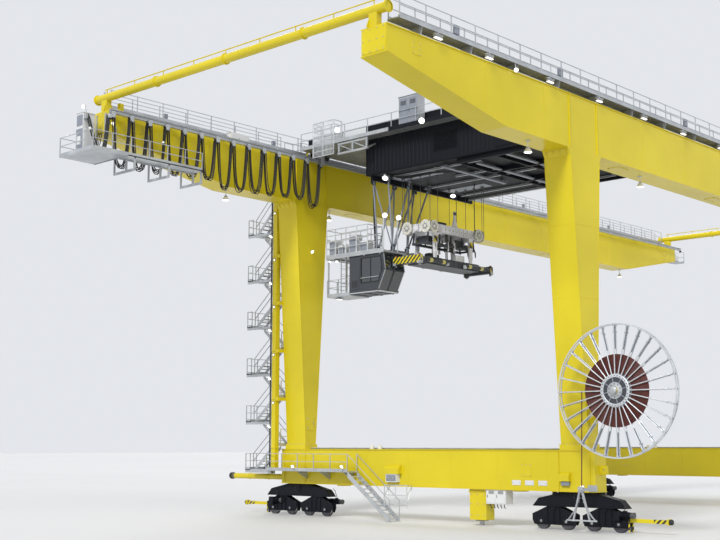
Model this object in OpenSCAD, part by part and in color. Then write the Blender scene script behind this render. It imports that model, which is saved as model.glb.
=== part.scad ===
// Rail mounted gantry crane with two cantilevers, as a 1:2 scale model.
// X runs along the girders, Y along the rails, Z up. The origin is on the
// floor under the middle of the portal. All sizes are millimetres of the model.

/* [Portal] */
// Distance between the near and the far rail, along X
rail_span = 17500; // [15000:100:19000]
// Distance between the centre lines of the two girders, along Y
girder_gap = 11000; // [10400:100:12000]
// Reach of each cantilever past its rail
cantilever = 8500; // [7500:100:9500]
// Height of the girders' underside over the floor
girder_bottom = 10600; // [10200:50:11500]
// Depth of a girder between its flanges
girder_h = 1600; // [1400:20:1800]
// Width of a girder over its flanges
girder_w = 850; // [750:10:950]
// Depth of a girder at its tip
tip_h = 700; // [600:20:900]
// Length of the tapered underside at a tip
tip_taper = 4750; // [3500:50:5500]
// How far a flange stands past its web
lip = 30; // [20:2:50]
// Thickness of a flange plate
flange_t = 24; // [16:2:40]

/* [Legs and sills] */
// Width of a leg at the girder, along X
leg_top_w = 1500; // [1300:20:1700]
// Width of a leg at the sill, along X
leg_foot_w = 475; // [420:5:560]
// Depth of a leg, along Y
leg_d = 880; // [780:10:940]
// Height of the sill's top face
sill_top = 2200; // [2050:10:2400]
// Depth of a sill
sill_h = 1150; // [1000:10:1250]
// Width of a sill
sill_w = 625; // [560:5:680]
// Length of a sill
sill_len = 12300; // [12100:20:12700]

/* [Wheels and bogies] */
// Tread diameter of a travel wheel
wheel_d = 400; // [360:5:430]
// Height of a wheel's flange over its tread
wheel_flange = 25; // [15:1:30]
// Width of a wheel's tread
wheel_w = 90; // [70:2:100]
// Distance between neighbouring wheels
wheel_pitch = 825; // [760:5:860]
// Diameter of a wheel's axle
axle_d = 80; // [60:2:100]
// Thickness of a bogie's side plates
bogie_plate = 30; // [20:1:40]

/* [Trolley] */
// Length of the trolley along the girders
trolley_len = 6200; // [5900:20:6600]
// Length of the machinery house along the girders
house_len = 5600; // [5300:20:5800]
// Depth of the machinery house
house_h = 1350; // [1200:10:1400]
// Tread diameter of a trolley wheel
trolley_wheel_d = 300; // [260:5:340]
// Height of the trolley rail
trolley_rail_h = 65; // [50:1:80]

/* [Cab] */
// Width of the cab along the girders
cab_w = 980; // [900:10:1050]
// Length of the cab across the girders
cab_len = 1500; // [1400:10:1650]
// Height of the cab
cab_h = 1330; // [1230:10:1400]
// Height of the cab's floor over the ground
cab_floor = 7300; // [7200:10:7400]

/* [Hoist] */
// Height of the spreader's underside over the floor
spreader_bottom = 8120; // [8020:10:8180]
// Length of the spreader over its ends, as it stands
spreader_len = 3900; // [3820:10:3980]
// Length of the spreader's middle frame
frame_len = 2750; // [2650:10:2850]
// Width of the spreader
spreader_w = 1150; // [1090:10:1180]
// Diameter of a rope sheave
sheave_d = 420; // [380:5:430]
// Diameter of a hoist rope
rope_d = 16; // [12:1:20]
// Length of a grapple arm
arm_len = 1280; // [1150:10:1340]

/* [Cable reel] */
// Diameter of the cable reel
reel_d = 3550; // [3300:10:3650]
// Diameter of the wound cable
winding_d = 2100; // [1900:10:2300]
// Distance between the two spoke layers
reel_gap = 96; // [80:2:120]
// Number of spokes in a layer
spokes = 28; // [20:2:32]
// Diameter of the supply cable
cable_d = 30; // [24:1:36]

/* [Stairs and walkways] */
// Height between two landings
storey = 1640; // [1600:5:1680]
// Height of a handrail over its floor
rail_h = 550; // [500:10:580]
// Width of a post or rail of the handrails
rail_t = 24; // [20:1:30]
// Width of the walkway on a girder
walk_w = 400; // [360:5:440]
// Thickness of walkway and landing plates
deck_t = 30; // [20:1:40]
// Number of treads in a flight
treads = 7; // [6:1:8]

/* [Festoon] */
// Number of festoon loops
loops = 13; // [11:1:14]
// Depth of a festoon loop
loop_h = 1580; // [1450:10:1650]
// Diameter of a festoon cable
festoon_d = 36; // [28:1:44]

/* [Hidden] */
// Running clearance between curved faces, and room round a moving piece
fit = 0.3;
half_span = rail_span / 2;
half_gap = girder_gap / 2;
tip_x = half_span + cantilever;
girder_top = girder_bottom + girder_h;
sill_bottom = sill_top - sill_h;
axle_z = wheel_d / 2 + wheel_flange;
sides = [-1, 1];

// Places on the girders
web_y = girder_w / 2 - lip;
trolley_rail_y = half_gap - girder_w / 2 + 75;
trolley_rail_w = 60;
walk_y = half_gap + girder_w / 2 - walk_w / 2 + 60;
walk_z = girder_top + 250;
walk_x1 = tip_x - 400;
post_gap = 1000;

// Places on the trolley, at rest
trolley_x0 = -half_span - 150;
trolley_x1 = trolley_x0 + trolley_len;
house_x0 = trolley_x0 + 50;
house_x1 = house_x0 + house_len;
house_y0 = -4300;
house_y1 = 2400;
house_top = girder_top + 300;
house_bottom = house_top - house_h;
beam_h = 350;
beam_w = 350;
carriage_w = 200;
rail_top = girder_top + trolley_rail_h;

// Places of the cab and its platforms
cab_x0 = trolley_x0 + 180;
cab_y0 = 1800;
cab_y1 = cab_y0 + cab_len;
cab_top = cab_floor + cab_h;
cab_gallery_y1 = cab_y1 + 1050;

// Places of the hoist
hoist_x = trolley_x0 + 2500;
hoist_y = 1110;
spreader_h = 300;
spreader_top = spreader_bottom + spreader_h;
end_beam_w = 150;
tunnel_y = 180;
sheave_z = spreader_bottom + 1290;
end_sheave_x = 1450;
end_sheave_y = 390;
side_sheave_x = 1200;
side_sheave_y = 550;
arm_d = 120;

// Places of the cable reel
reel_x = -half_span - 970;
reel_y = -half_gap - 1800;
reel_z = 3750;
reel_shaft_d = 180;
gearbox_x = reel_x + 240;

// Places of the stairs
tower_y0 = half_gap + leg_d / 2;
landing_y0 = tower_y0 + 50;
turn_y1 = landing_y0 + 410;
strip_y0 = turn_y1 + 950;
landing_y1 = strip_y0 + 250;
landing_x0 = -half_span - 650;
landing_x1 = landing_x0 + 1000;
landing_z0 = 1500;
mast_w = 180;
flight_w = 400;

// General shapes

// A box between two opposite corners
module box(a, b) {
    translate([min(a.x, b.x), min(a.y, b.y), min(a.z, b.z)])
        cube([abs(b.x - a.x), abs(b.y - a.y), abs(b.z - a.z)]);
}

// A straight bar of few sides between two points
module rod(a, b, d, n = 6) {
    v = b - a;
    translate(a)
        rotate([0, acos(v.z / norm(v)), atan2(v.y, v.x)])
            cylinder(d = d, h = norm(v), $fn = n);
}

// A flat plate in the XZ plane, from y0 to y1
module plate_xz(points, y0, y1) {
    translate([0, y1, 0]) rotate([90, 0, 0]) linear_extrude(y1 - y0) polygon(points);
}

// A flat plate in the YZ plane, from x0 to x1
module plate_yz(points, x0, x1) {
    translate([x0, 0, 0]) rotate([90, 0, 90]) linear_extrude(x1 - x0) polygon(points);
}

// A handrail along X with posts, a knee rail and a toe board
module rail_x(x0, x1, y, z, gap = post_gap) {
    n = max(1, round((x1 - x0) / gap));
    step = (x1 - x0 - rail_t) / n;
    for (i = [0 : n])
        box([x0 + i * step, y - rail_t / 2, z], [x0 + i * step + rail_t, y + rail_t / 2, z + rail_h]);
    for (h = [rail_h, rail_h * 0.55])
        box([x0, y - rail_t / 3, z + h - rail_t * 0.8], [x1, y + rail_t / 3, z + h]);
    box([x0, y - rail_t / 4, z], [x1, y + rail_t / 4, z + 75]);
}

// The same handrail along Y
module rail_y(y0, y1, x, z, gap = post_gap) {
    rotate(90) rail_x(y0, y1, -x, z, gap);
}

// Portal

// Outline of a girder, seen along Y, inset at the top and bottom
function girder_outline(t) = [
    [-tip_x, girder_top - t], [tip_x, girder_top - t],
    [tip_x, girder_top - tip_h + t], [tip_x - tip_taper, girder_bottom + t],
    [-tip_x + tip_taper, girder_bottom + t], [-tip_x, girder_top - tip_h + t]
];

module girder(side) {
    y = side * half_gap;
    color("gold") {
        plate_xz(girder_outline(0), y - web_y, y + web_y);
        box([-tip_x, y - girder_w / 2, girder_top - flange_t], [tip_x, y + girder_w / 2, girder_top]);
        difference() {
            plate_xz(girder_outline(0), y - girder_w / 2, y + girder_w / 2);
            plate_xz(girder_outline_cut(), y - girder_w, y + girder_w);
        }
    }
}

// What is cut from the full outline to leave the bottom flange
function girder_outline_cut() = [
    [-tip_x - 100, girder_top + 100], [tip_x + 100, girder_top + 100],
    [tip_x + 100, girder_top - tip_h + flange_t],
    [tip_x, girder_top - tip_h + flange_t], [tip_x - tip_taper, girder_bottom + flange_t],
    [-tip_x + tip_taper, girder_bottom + flange_t], [-tip_x, girder_top - tip_h + flange_t],
    [-tip_x - 100, girder_top - tip_h + flange_t]
];

module leg(sx, sy) {
    x = sx * half_span;
    y = sy * half_gap;
    foot_z = sill_top + 150;
    collar_z = girder_bottom - 40;
    haunch = 160;
    color("gold") {
        plate_xz([
            [x - leg_foot_w / 2, foot_z], [x + leg_foot_w / 2, foot_z],
            [x + leg_top_w / 2, collar_z - haunch], [x + leg_top_w / 2 + haunch / 2, collar_z],
            [x - leg_top_w / 2 - haunch / 2, collar_z], [x - leg_top_w / 2, collar_z - haunch]
        ], y - leg_d / 2, y + leg_d / 2);
        box([x - leg_foot_w / 2 - 50, y - leg_d / 2 - 30, sill_top],
            [x + leg_foot_w / 2 + 50, y + leg_d / 2 + 30, foot_z]);
        box([x - leg_top_w / 2 - haunch / 2 - 40, y - leg_d / 2 + 15, collar_z],
            [x + leg_top_w / 2 + haunch / 2 + 40, y + leg_d / 2 - 15, girder_bottom]);
    }
}

// The left and the right leg over one sill
module legs(sx) {
    for (sy = sides) leg(sx, sy);
}

jack_y = 3500;
module sill(sx) {
    x = sx * half_span;
    color("gold") {
        box([x - sill_w / 2 + lip, -sill_len / 2, sill_bottom], [x + sill_w / 2 - lip, sill_len / 2, sill_top]);
        for (z = [sill_bottom, sill_top - flange_t])
            box([x - sill_w / 2, -sill_len / 2, z], [x + sill_w / 2, sill_len / 2, z + flange_t]);
        // Jacking pads inboard of the bogies
        for (s = sides)
            box([x - 160, s * jack_y - 160, sill_bottom - 40], [x + 160, s * jack_y + 160, sill_bottom]);
        // Post of the storm anchor under the middle of the sill
        box([x - 200, -2400, 160], [x + 200, -1800, sill_bottom]);
        // Hood over the socket box, on the near sill only
        if (sx < 0)
            plate_xz([[x - sill_w / 2 + lip, 1440], [x - sill_w / 2 + lip, 1720], [x - sill_w / 2 - 60, 1690],
                      [x - sill_w / 2 - 150, 1600], [x - sill_w / 2 - 150, 1440]], 770, 1360);
        // Tie-down lugs at the ends
        for (s = sides) tie_down_lug(x, s);
    }
}

// A plate with a shackle hole that stands out from the end of a sill
lug_t = 50;
lug_bore = 90;
lug_reach = 130;
module tie_down_lug(x, s) {
    z = sill_bottom + 600;
    y = s * sill_len / 2;
    difference() {
        box([x - lug_t / 2, y, z - 120], [x + lug_t / 2, y + s * (lug_reach + 100), z + 120]);
        translate([x, y + s * lug_reach, z]) rotate([0, 90, 0])
            cylinder(d = lug_bore, h = 2 * lug_t, center = true, $fn = 48);
    }
}

// Round tubes that join the girder tips, each on two saddles
tie_d = 250;
tie_z = girder_top + 450;
module end_ties() {
    color("gold") for (sx = sides) {
        x = sx * (tip_x - 130);
        translate([x, 0, tie_z]) rotate([90, 0, 0])
            cylinder(d = tie_d, h = girder_gap + 700, center = true, $fn = 48);
        for (sy = sides)
            box([x - 90, sy * (half_gap - 200), girder_top], [x + 90, sy * (half_gap + 60), tie_z]);
    }
    color("silver") for (sx = sides) {
        x = sx * (tip_x - 130);
        translate([x, 0, tie_z + tie_d / 2 + 130]) rotate([90, 0, 0])
            cylinder(d = 34, h = girder_gap, center = true, $fn = 24);
        for (i = [-4 : 4])
            box([x - 10, i * 1350 - 10, tie_z + tie_d / 2 - 8],
                [x + 10, i * 1350 + 10, tie_z + tie_d / 2 + 130]);
    }
}

module trolley_tracks() {
    color("dimgray") for (s = sides)
        box([-tip_x + 300, s * trolley_rail_y - trolley_rail_w / 2, girder_top],
            [tip_x - 300, s * trolley_rail_y + trolley_rail_w / 2, rail_top]);
}

module walkways() {
    color("lightgray") for (s = sides) {
        y0 = s * (walk_y - walk_w / 2);
        box([-walk_x1, y0, walk_z - deck_t], [walk_x1, s * (walk_y + walk_w / 2), walk_z]);
        for (i = [-8 : 8])
            box([i * 2000 - 20, y0, girder_top],
                [i * 2000 + 20, s * (half_gap + girder_w / 2 - 20), walk_z - deck_t]);
    }
}

// The left outer handrail leaves the stair's top landing open
module walkway_rails() {
    inset = walk_w / 2 - rail_t;
    color("lightgray") {
        for (s = sides) rail_x(-walk_x1, walk_x1, s * (walk_y - inset), walk_z);
        rail_x(-walk_x1, walk_x1, -walk_y - inset, walk_z);
        rail_x(-walk_x1, landing_x0, walk_y + inset, walk_z);
        rail_x(landing_x1, walk_x1, walk_y + inset, walk_z);
    }
}

// Festoon

track_z = girder_top - 200;
track_y = half_gap - girder_w / 2 - 300;
track_x0 = -tip_x - 200;
track_x1 = tip_x;
arm_x = trolley_x0 + 250;
first_loop_x = -tip_x - 100;
loop_pitch = (arm_x - first_loop_x) / loops;
bundle_w = 120;
carrier_h = 70;

module festoon_track() {
    track_gap = (track_x1 - track_x0) / 16;
    color("gray") {
        box([track_x0, track_y - 50, track_z], [track_x1, track_y + 50, track_z + 16]);
        box([track_x0, track_y - 6, track_z], [track_x1, track_y + 6, track_z + 120]);
        box([track_x0, track_y - 50, track_z + 104], [track_x1, track_y + 50, track_z + 120]);
        for (i = [0 : 15]) {
            x = -tip_x + 60 + i * track_gap;
            box([x - 20, track_y - 20, track_z + 90], [x + 20, half_gap - web_y, track_z + 170]);
        }
    }
}

// Outline of a loop from its carriers down, as wide as the bundle's middle line plus t
module loop_outline(w, t) {
    r = w / 2 + t;
    translate([-r, r - loop_h]) square([2 * r, loop_h - r + (t > 0 ? 0 : 10)]);
    translate([0, r - loop_h - (t > 0 ? 0 : t)]) circle(r, $fn = 64);
}

// A loop is a flat bundle of cables; carriers on the track hold both of its ends
module festoon_loop(x, w) {
    translate([x, track_y + bundle_w / 2, track_z - carrier_h]) rotate([90, 0, 0])
        linear_extrude(bundle_w) difference() {
            loop_outline(w, festoon_d / 2);
            loop_outline(w, -festoon_d / 2);
        }
}

module festoon_loops() {
    color([0.06, 0.06, 0.06]) {
        for (i = [0 : loops - 1])
            festoon_loop(first_loop_x + (i + 0.5) * loop_pitch, loop_pitch * 0.8);
        for (i = [0 : loops])
            box([first_loop_x + i * loop_pitch - 90, track_y - bundle_w / 2 - 10, track_z - carrier_h],
                [first_loop_x + i * loop_pitch + 90, track_y + bundle_w / 2 + 10, track_z - fit]);
    }
}

// Galleries round the tips and the catwalk beside the festoon

gallery_z = girder_bottom + 50;
gallery_x1 = tip_x + 1250;
catwalk_y0 = 4050;
catwalk_y1 = 4500;
catwalk_x1 = -tip_x + 2750;
gallery_y1 = half_gap + 220;
loop_bottom = track_z - carrier_h - loop_h;
bracket_t = 50;

module end_galleries() {
    color("lightgray") {
        box([-gallery_x1, catwalk_y0, gallery_z - deck_t], [-tip_x - 60, gallery_y1, gallery_z]);
        box([-tip_x - 60, catwalk_y0, gallery_z - deck_t], [catwalk_x1, catwalk_y1, gallery_z]);
        // Brackets from the girder's web, that pass under the festoon loops
        for (i = [0 : 2]) {
            x = -tip_x + 200 + i * 1250;
            y = half_gap - girder_w / 2;
            box([x, y - 40, loop_bottom - 130], [x + bracket_t, y, track_z - 300]);
            box([x, y - 40, track_z - 480], [x + bracket_t, half_gap - web_y, track_z - 300]);
            box([x, catwalk_y0, loop_bottom - 130], [x + bracket_t, y, loop_bottom - 60]);
            for (y = [catwalk_y0, catwalk_y1 - bracket_t])
                box([x, y, loop_bottom - 130], [x + bracket_t, y + bracket_t, gallery_z - deck_t]);
        }
        for (y = [half_gap - 300, half_gap + 160])
            box([-tip_x - 60, y - 30, gallery_z - deck_t], [-tip_x, y + 30, girder_top - 100]);
        // Small outrigger at the far tip
        box([tip_x, half_gap - 250, girder_top - tip_h + 60],
            [gallery_x1, half_gap + 250, girder_top - tip_h + 90]);
        for (y = [half_gap - 230, half_gap + 200])
            plate_xz([[tip_x, girder_top - tip_h + 60], [gallery_x1 - 100, girder_top - tip_h + 60],
                      [tip_x, girder_top - tip_h + 10]], y, y + 30);
    }
}

module gallery_rails() {
    color("lightgray") {
        rail_y(catwalk_y0, gallery_y1, -gallery_x1 + rail_t / 2, gallery_z, 700);
        rail_x(-gallery_x1, catwalk_x1, catwalk_y0 + rail_t / 2, gallery_z, 700);
        rail_x(-gallery_x1, -tip_x - 60, gallery_y1 - rail_t / 2, gallery_z, 600);
        rail_y(half_gap - 250, half_gap + 250, gallery_x1 - rail_t / 2, girder_top - tip_h + 90, 500);
    }
}

// Stairs beside the near left leg

landing_count = 7;
mast_x0 = landing_x0 - 40;
mast_y0 = tower_y0 + 140;
mast_top = walk_z - deck_t;
lane_x = [landing_x0 + 160, landing_x0 + 570];
stringer_t = 12;
stringer_h = 130;

// The last three flights share what is left up to the walkway
function landing_z(i) =
    i < landing_count - 1 ? landing_z0 + i * storey
    : (landing_z(landing_count - 2) + 2 * walk_z) / 3;
function turn_z(i) = i < landing_count - 1 ? (landing_z(i) + landing_z(i + 1)) / 2 : walk_z;

module stair_mast() {
    color("gold") {
        box([mast_x0, mast_y0, landing_z0], [mast_x0 + mast_w, mast_y0 + mast_w, mast_top]);
        for (i = [1 : landing_count - 2])
            box([mast_x0, tower_y0, turn_z(i) - deck_t - 110], [-half_span + 50, mast_y0, turn_z(i) - deck_t]);
    }
}

module stair_landings() {
    color("lightgray") {
        for (i = [0 : landing_count - 1]) {
            // Outer strip, with a beam along its edge that leads to the mast
            box([landing_x0, i > 0 ? strip_y0 : turn_y1 + fit, landing_z(i) - deck_t],
                [landing_x1, landing_y1, landing_z(i)]);
            box([landing_x0, mast_y0 + mast_w, landing_z(i) - 110],
                [landing_x0 + 40, landing_y1, landing_z(i) - deck_t]);
            // Turn beside the leg, and the flights that lead to it and away
            box([mast_x0 + mast_w, landing_y0, turn_z(i) - deck_t], [landing_x1, turn_y1, turn_z(i)]);
            for (w = [0, flight_w - stringer_t]) {
                stringer(lane_x[0] + w, strip_y0, landing_z(i), turn_y1, turn_z(i));
                if (i < landing_count - 1)
                    stringer(lane_x[1] + w, turn_y1, turn_z(i), strip_y0, landing_z(i + 1));
            }
        }
    }
}

// A stair string from its low end (y0, z0) to its high end (y1, z1)
module stringer(x, y0, z0, y1, z1) {
    d = y1 > y0 ? 1 : -1;
    plate_yz([[y0, z0], [y1, z1], [y1, z1 - stringer_h], [y0 + d * stringer_h, z0 - deck_t], [y0, z0 - deck_t]],
             x, x + stringer_t);
}

module stair_treads() {
    color("silver") for (i = [0 : landing_count - 1], k = [1 : treads]) {
        t = k / (treads + 1);
        run = strip_y0 - turn_y1;
        tread(lane_x[0], strip_y0 - t * run, landing_z(i) + t * (turn_z(i) - landing_z(i)));
        if (i < landing_count - 1)
            tread(lane_x[1], turn_y1 + t * run, turn_z(i) + t * (landing_z(i + 1) - turn_z(i)));
    }
}

module tread(x, y, z) {
    box([x + stringer_t, y - 50, z - 40], [x + flight_w - stringer_t, y + 50, z - 30]);
}

module stair_rails() {
    color("lightgray") for (i = [0 : landing_count - 1]) {
        rail_x(landing_x0, landing_x1, landing_y1 - rail_t / 2, landing_z(i), 500);
        rail_y(strip_y0, landing_y1, landing_x0 + rail_t / 2, landing_z(i));
        rail_y(strip_y0, landing_y1, landing_x1 - rail_t / 2, landing_z(i));
        rail_y(landing_y0, turn_y1, landing_x1 - rail_t / 2, turn_z(i));
        sloped_rail(lane_x[0] - rail_t, strip_y0, landing_z(i), turn_y1, turn_z(i));
        // The top turn is open to the walkway, and closed where no flight leads on
        if (i < landing_count - 1) {
            rail_x(mast_x0 + mast_w, landing_x1, landing_y0 + rail_t / 2, turn_z(i), 500);
            sloped_rail(landing_x1 - rail_t, turn_y1, turn_z(i), strip_y0, landing_z(i + 1));
        } else
            rail_x(lane_x[1], landing_x1, turn_y1 - rail_t / 2, walk_z);
    }
}

// A handrail beside a flight, with its posts on the landings at both ends
module sloped_rail(x, y0, z0, y1, z1) {
    for (h = [rail_h, rail_h * 0.55])
        plate_yz([[y0, z0 + h - rail_t], [y0, z0 + h], [y1, z1 + h], [y1, z1 + h - rail_t]], x, x + rail_t);
    for (p = [[y0, z0], [y1, z1]])
        box([x, p[0] - rail_t / 2, p[1]], [x + rail_t, p[0] + rail_t / 2, p[1] + rail_h]);
}

// Access platform along the near sill

platform_z = 1500;
platform_x0 = -half_span - sill_w / 2 - 500;
platform_y0 = 2600;
platform_stair_y = 800;
sill_web_x = -half_span - sill_w / 2 + lip;
module sill_platform() {
    tread_n = 11;
    run = (platform_y0 - platform_stair_y) / (tread_n + 1);
    rise = platform_z / (tread_n + 1);
    color("lightgray") {
        box([platform_x0, platform_y0, platform_z - deck_t], [sill_web_x, turn_y1, platform_z]);
        for (y = [platform_y0 + 200 : 1050 : sill_len / 2 - 300])
            plate_xz([[platform_x0 + 20, platform_z - deck_t], [sill_web_x, platform_z - deck_t],
                      [sill_web_x, platform_z - 300]], y, y + 30);
        // Stair to the ground
        for (x = [platform_x0 + 10, platform_x0 + 450])
            plate_yz([[platform_y0, platform_z], [platform_y0, platform_z - 190],
                      [platform_stair_y + 140, 40], [platform_stair_y, 40], [platform_stair_y, 90]], x, x + 14);
        for (k = [1 : tread_n])
            box([platform_x0 + 24, platform_y0 - k * run - 60, platform_z - k * rise - 40],
                [platform_x0 + 450, platform_y0 - k * run + 50, platform_z - k * rise - 28]);
    }
}

module sill_platform_rails() {
    color("lightgray") {
        rail_y(platform_y0, turn_y1, platform_x0 + rail_t / 2, platform_z, 800);
        box([platform_x0 + 450, platform_y0, platform_z],
            [platform_x0 + 450 + rail_t / 2, platform_y0 + rail_t, platform_z + rail_h]);
        for (x = [platform_x0, platform_x0 + 450])
            plate_yz([[platform_y0, platform_z + rail_h - rail_t], [platform_y0, platform_z + rail_h],
                      [platform_stair_y, rail_h + 90], [platform_stair_y, 90], [platform_stair_y + rail_t, 110],
                      [platform_stair_y + rail_t, rail_h + 80]], x, x + rail_t / 2);
    }
}

// Bogies

bogie_gap = wheel_w + 2 * lip + 20;
module bogies() {
    color([0.1, 0.11, 0.16]) for (sx = sides, sy = sides) {
        x = sx * half_span;
        y = sy * half_gap;
        // Balance beam, carried by the sill
        plate_yz([[y - 1500, 640], [y + 1500, 640], [y + 1300, 860], [y + 420, sill_bottom],
                  [y - 420, sill_bottom], [y - 1300, 860]], x - 150, x + 150);
        // Two bogies with two wheels each, and a cross plate at the outer end
        for (b = sides) bogie(x, y + b * wheel_pitch);
        end_y = half_gap + wheel_pitch * 1.5 + guard;
        box([x - bogie_gap / 2, sy * (end_y - 50), 260], [x + bogie_gap / 2, sy * end_y, 420]);
    }
}

guard = 300;
module bogie(x, y) {
    half = wheel_pitch / 2;
    for (s = sides) {
        x0 = x + s * (bogie_gap / 2 + bogie_plate / 2);
        difference() {
            plate_yz([[y - half - 240, 130], [y + half + 240, 130], [y + half + guard, 260],
                      [y + half + guard, 420], [y + 200, 640], [y - 200, 640],
                      [y - half - guard, 420], [y - half - guard, 260]],
                     x0 - bogie_plate / 2, x0 + bogie_plate / 2);
            for (w = sides)
                translate([x0, y + w * half, axle_z]) rotate([0, 90, 0])
                    cylinder(d = axle_d + 2 * fit, h = 2 * bogie_plate, center = true, $fn = 48);
        }
    }
    box([x - bogie_gap / 2, y - 60, 200], [x + bogie_gap / 2, y + 60, 640]);
}

// A flanged wheel on its axle, which turns in the bogie's side plates
module wheel(n) {
    i = n - 1;
    sx = sides[floor(i / 8)];
    sy = sides[floor(i / 4) % 2];
    k = (i % 4) - 1.5;
    translate([sx * half_span, sy * half_gap + k * wheel_pitch, axle_z]) rotate([0, 90, 0])
        color([0.25, 0.25, 0.27]) {
            cylinder(d = wheel_d, h = wheel_w, center = true, $fn = 64);
            for (s = sides)
                translate([0, 0, s * (wheel_w / 2 + 8)])
                    cylinder(d = wheel_d + 2 * wheel_flange, h = 16, center = true, $fn = 64);
            cylinder(d = axle_d, h = bogie_gap + 2 * bogie_plate + 20, center = true, $fn = 48);
        }
}

// Buffers

buffer_reach = reel_d / 2 - reel_y;
low_buffer_y = half_gap + wheel_pitch * 1.5 + guard;
module buffers() {
    color("gold") for (sx = sides) {
        x = sx * half_span;
        translate([x, sill_len / 2, 1250]) rotate([-90, 0, 0])
            cylinder(d = 190, h = buffer_reach - sill_len / 2, $fn = 48);
        for (sy = sides)
            box([x - 60, sy * low_buffer_y, 290], [x + 60, sy * (low_buffer_y + 1150), 390]);
    }
}

// Cable reel

module reel_bracket() {
    color("gold") {
        box([-half_span - 250, reel_y - 200, reel_z - 170], [-half_span + 50, -tower_y0, reel_z + 170]);
        plate_yz([[-tower_y0, reel_z - 170], [-tower_y0, reel_z - 900], [reel_y, reel_z - 170]],
                 -half_span - 150, -half_span - 50);
    }
    color("gray") {
        box([gearbox_x, reel_y - 240, reel_z - 260], [-half_span - 250, reel_y + 240, reel_z + 260]);
        translate([gearbox_x, reel_y, reel_z]) rotate([0, -90, 0])
            cylinder(d = reel_shaft_d, h = gearbox_x - reel_x + 200, $fn = 48);
    }
}

hub_r = 435;
spoke_t = 22;
module reel() {
    color("lightgray") translate([reel_x, reel_y, reel_z]) rotate([0, 90, 0]) {
        difference() {
            union() {
                for (s = sides) translate([0, 0, s * (reel_gap / 2 + 12)])
                    cylinder(r = hub_r, h = 24, center = true, $fn = 64);
                cylinder(r = 220, h = reel_gap + 100, center = true, $fn = 48);
            }
            cylinder(d = reel_shaft_d + 2 * fit, h = 600, center = true, $fn = 48);
        }
        for (s = sides) translate([0, 0, s * (reel_gap / 2 + 12)]) {
            difference() {
                cylinder(d = reel_d, h = 20, center = true, $fn = 96);
                cylinder(d = reel_d - 60, h = 30, center = true, $fn = 96);
            }
            for (i = [0 : spokes - 1]) rotate(i * 360 / spokes)
                translate([hub_r - 30, -spoke_t / 2, -8]) cube([reel_d / 2 - hub_r + 10, spoke_t, 16]);
        }
    }
}

module reel_winding() {
    color([0.45, 0.16, 0.1]) translate([reel_x, reel_y, reel_z]) rotate([0, 90, 0]) difference() {
        cylinder(d = winding_d, h = cable_d, center = true, $fn = 96);
        cylinder(r = 220, h = 100, center = true, $fn = 48);
    }
}

guide_y = reel_y + 1150;
guide_z = 1150;

// The cable leaves the winding on the tangent that leads down to the guide
cable_r = winding_d / 2 + cable_d / 2 + fit;
guide_v = [guide_y - reel_y, guide_z - reel_z];
cable_a = atan2(guide_v.y, guide_v.x) + acos(cable_r / norm(guide_v));
module reel_cable() {
    color([0.45, 0.16, 0.1])
        rod([reel_x, reel_y + cable_r * cos(cable_a), reel_z + cable_r * sin(cable_a)],
            [reel_x, guide_y, guide_z], cable_d, 8);
}

module cable_guide() {
    color("silver") {
        box([reel_x - 20, guide_y - 60, guide_z - 40], [sill_web_x, guide_y - 20, guide_z + 40]);
        box([sill_web_x - 60, guide_y - 60, guide_z - 70],
            [sill_web_x, -sill_len / 2 + 200, guide_z + 100]);
        box([reel_x - 60, guide_y - 60, guide_z - 40], [reel_x - 20, guide_y + 60, guide_z + 40]);
        for (s = sides)
            plate_yz([[guide_y + s * 30 - 22, guide_z], [guide_y + s * 30 + 22, guide_z],
                      [guide_y + s * 260 + 20, 320], [guide_y + s * 260 - 20, 320]],
                     reel_x - 60, reel_x - 20);
    }
}

// Floodlights under the girders, on rods

module floodlights() {
    color("silver") {
        for (x = [-half_span - 3550, -half_span + 1300, half_span + 3700]) floodlight(x, half_gap);
        for (x = [-half_span - 2200, -half_span + 3850]) floodlight(x, -half_gap);
    }
}

module floodlight(x, y) {
    rod_h = 260;
    box([x - 10, y - 10, girder_bottom - rod_h], [x + 10, y + 10, girder_bottom]);
    translate([x, y, girder_bottom - rod_h - 80]) cylinder(d1 = 220, d2 = 120, h = 100, $fn = 32);
}

module cabinets() {
    x = -half_span - 3550;
    color("lightgray") {
        box([-half_span - 260, -3150, 640], [-half_span + 100, -2450, sill_bottom]);
        box([-half_span - sill_w / 2 - 130, 850, 1190], [sill_web_x, 1300, 1440 - fit]);
        box([-tip_x - 750, half_gap - 200, gallery_z], [-tip_x - 350, half_gap + 150, gallery_z + 900]);
        for (s = sides)
            box([x, s * (half_gap - 120) - 110, girder_top], [x + 800, s * (half_gap - 120) + 110, girder_top + 300]);
    }
}

// Trolley

module trolley_frame() {
    carriage_z = rail_top + trolley_wheel_d / 2 + 20;
    wheel_x = [trolley_x0 + 350, trolley_x0 + 900, trolley_x1 - 900, trolley_x1 - 350];
    color([0.12, 0.13, 0.2]) {
        for (s = sides)
            plate_xz([[trolley_x0, carriage_z], [trolley_x1, carriage_z], [trolley_x1, carriage_z + 200],
                      [trolley_x1 - 500, house_top + beam_h], [trolley_x0 + 500, house_top + beam_h],
                      [trolley_x0, carriage_z + 200]],
                     s * trolley_rail_y - carriage_w / 2, s * trolley_rail_y + carriage_w / 2);
        // Cross beams over the machinery house
        for (x = [house_x0, house_x1 - beam_w])
            box([x, -trolley_rail_y, house_top], [x + beam_w, trolley_rail_y, house_top + beam_h]);
    }
    color("dimgray") for (s = sides, x = wheel_x)
        translate([x, s * trolley_rail_y, rail_top + trolley_wheel_d / 2 + fit]) rotate([90, 0, 0])
            cylinder(d = trolley_wheel_d, h = 80, center = true, $fn = 48);
}

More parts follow.
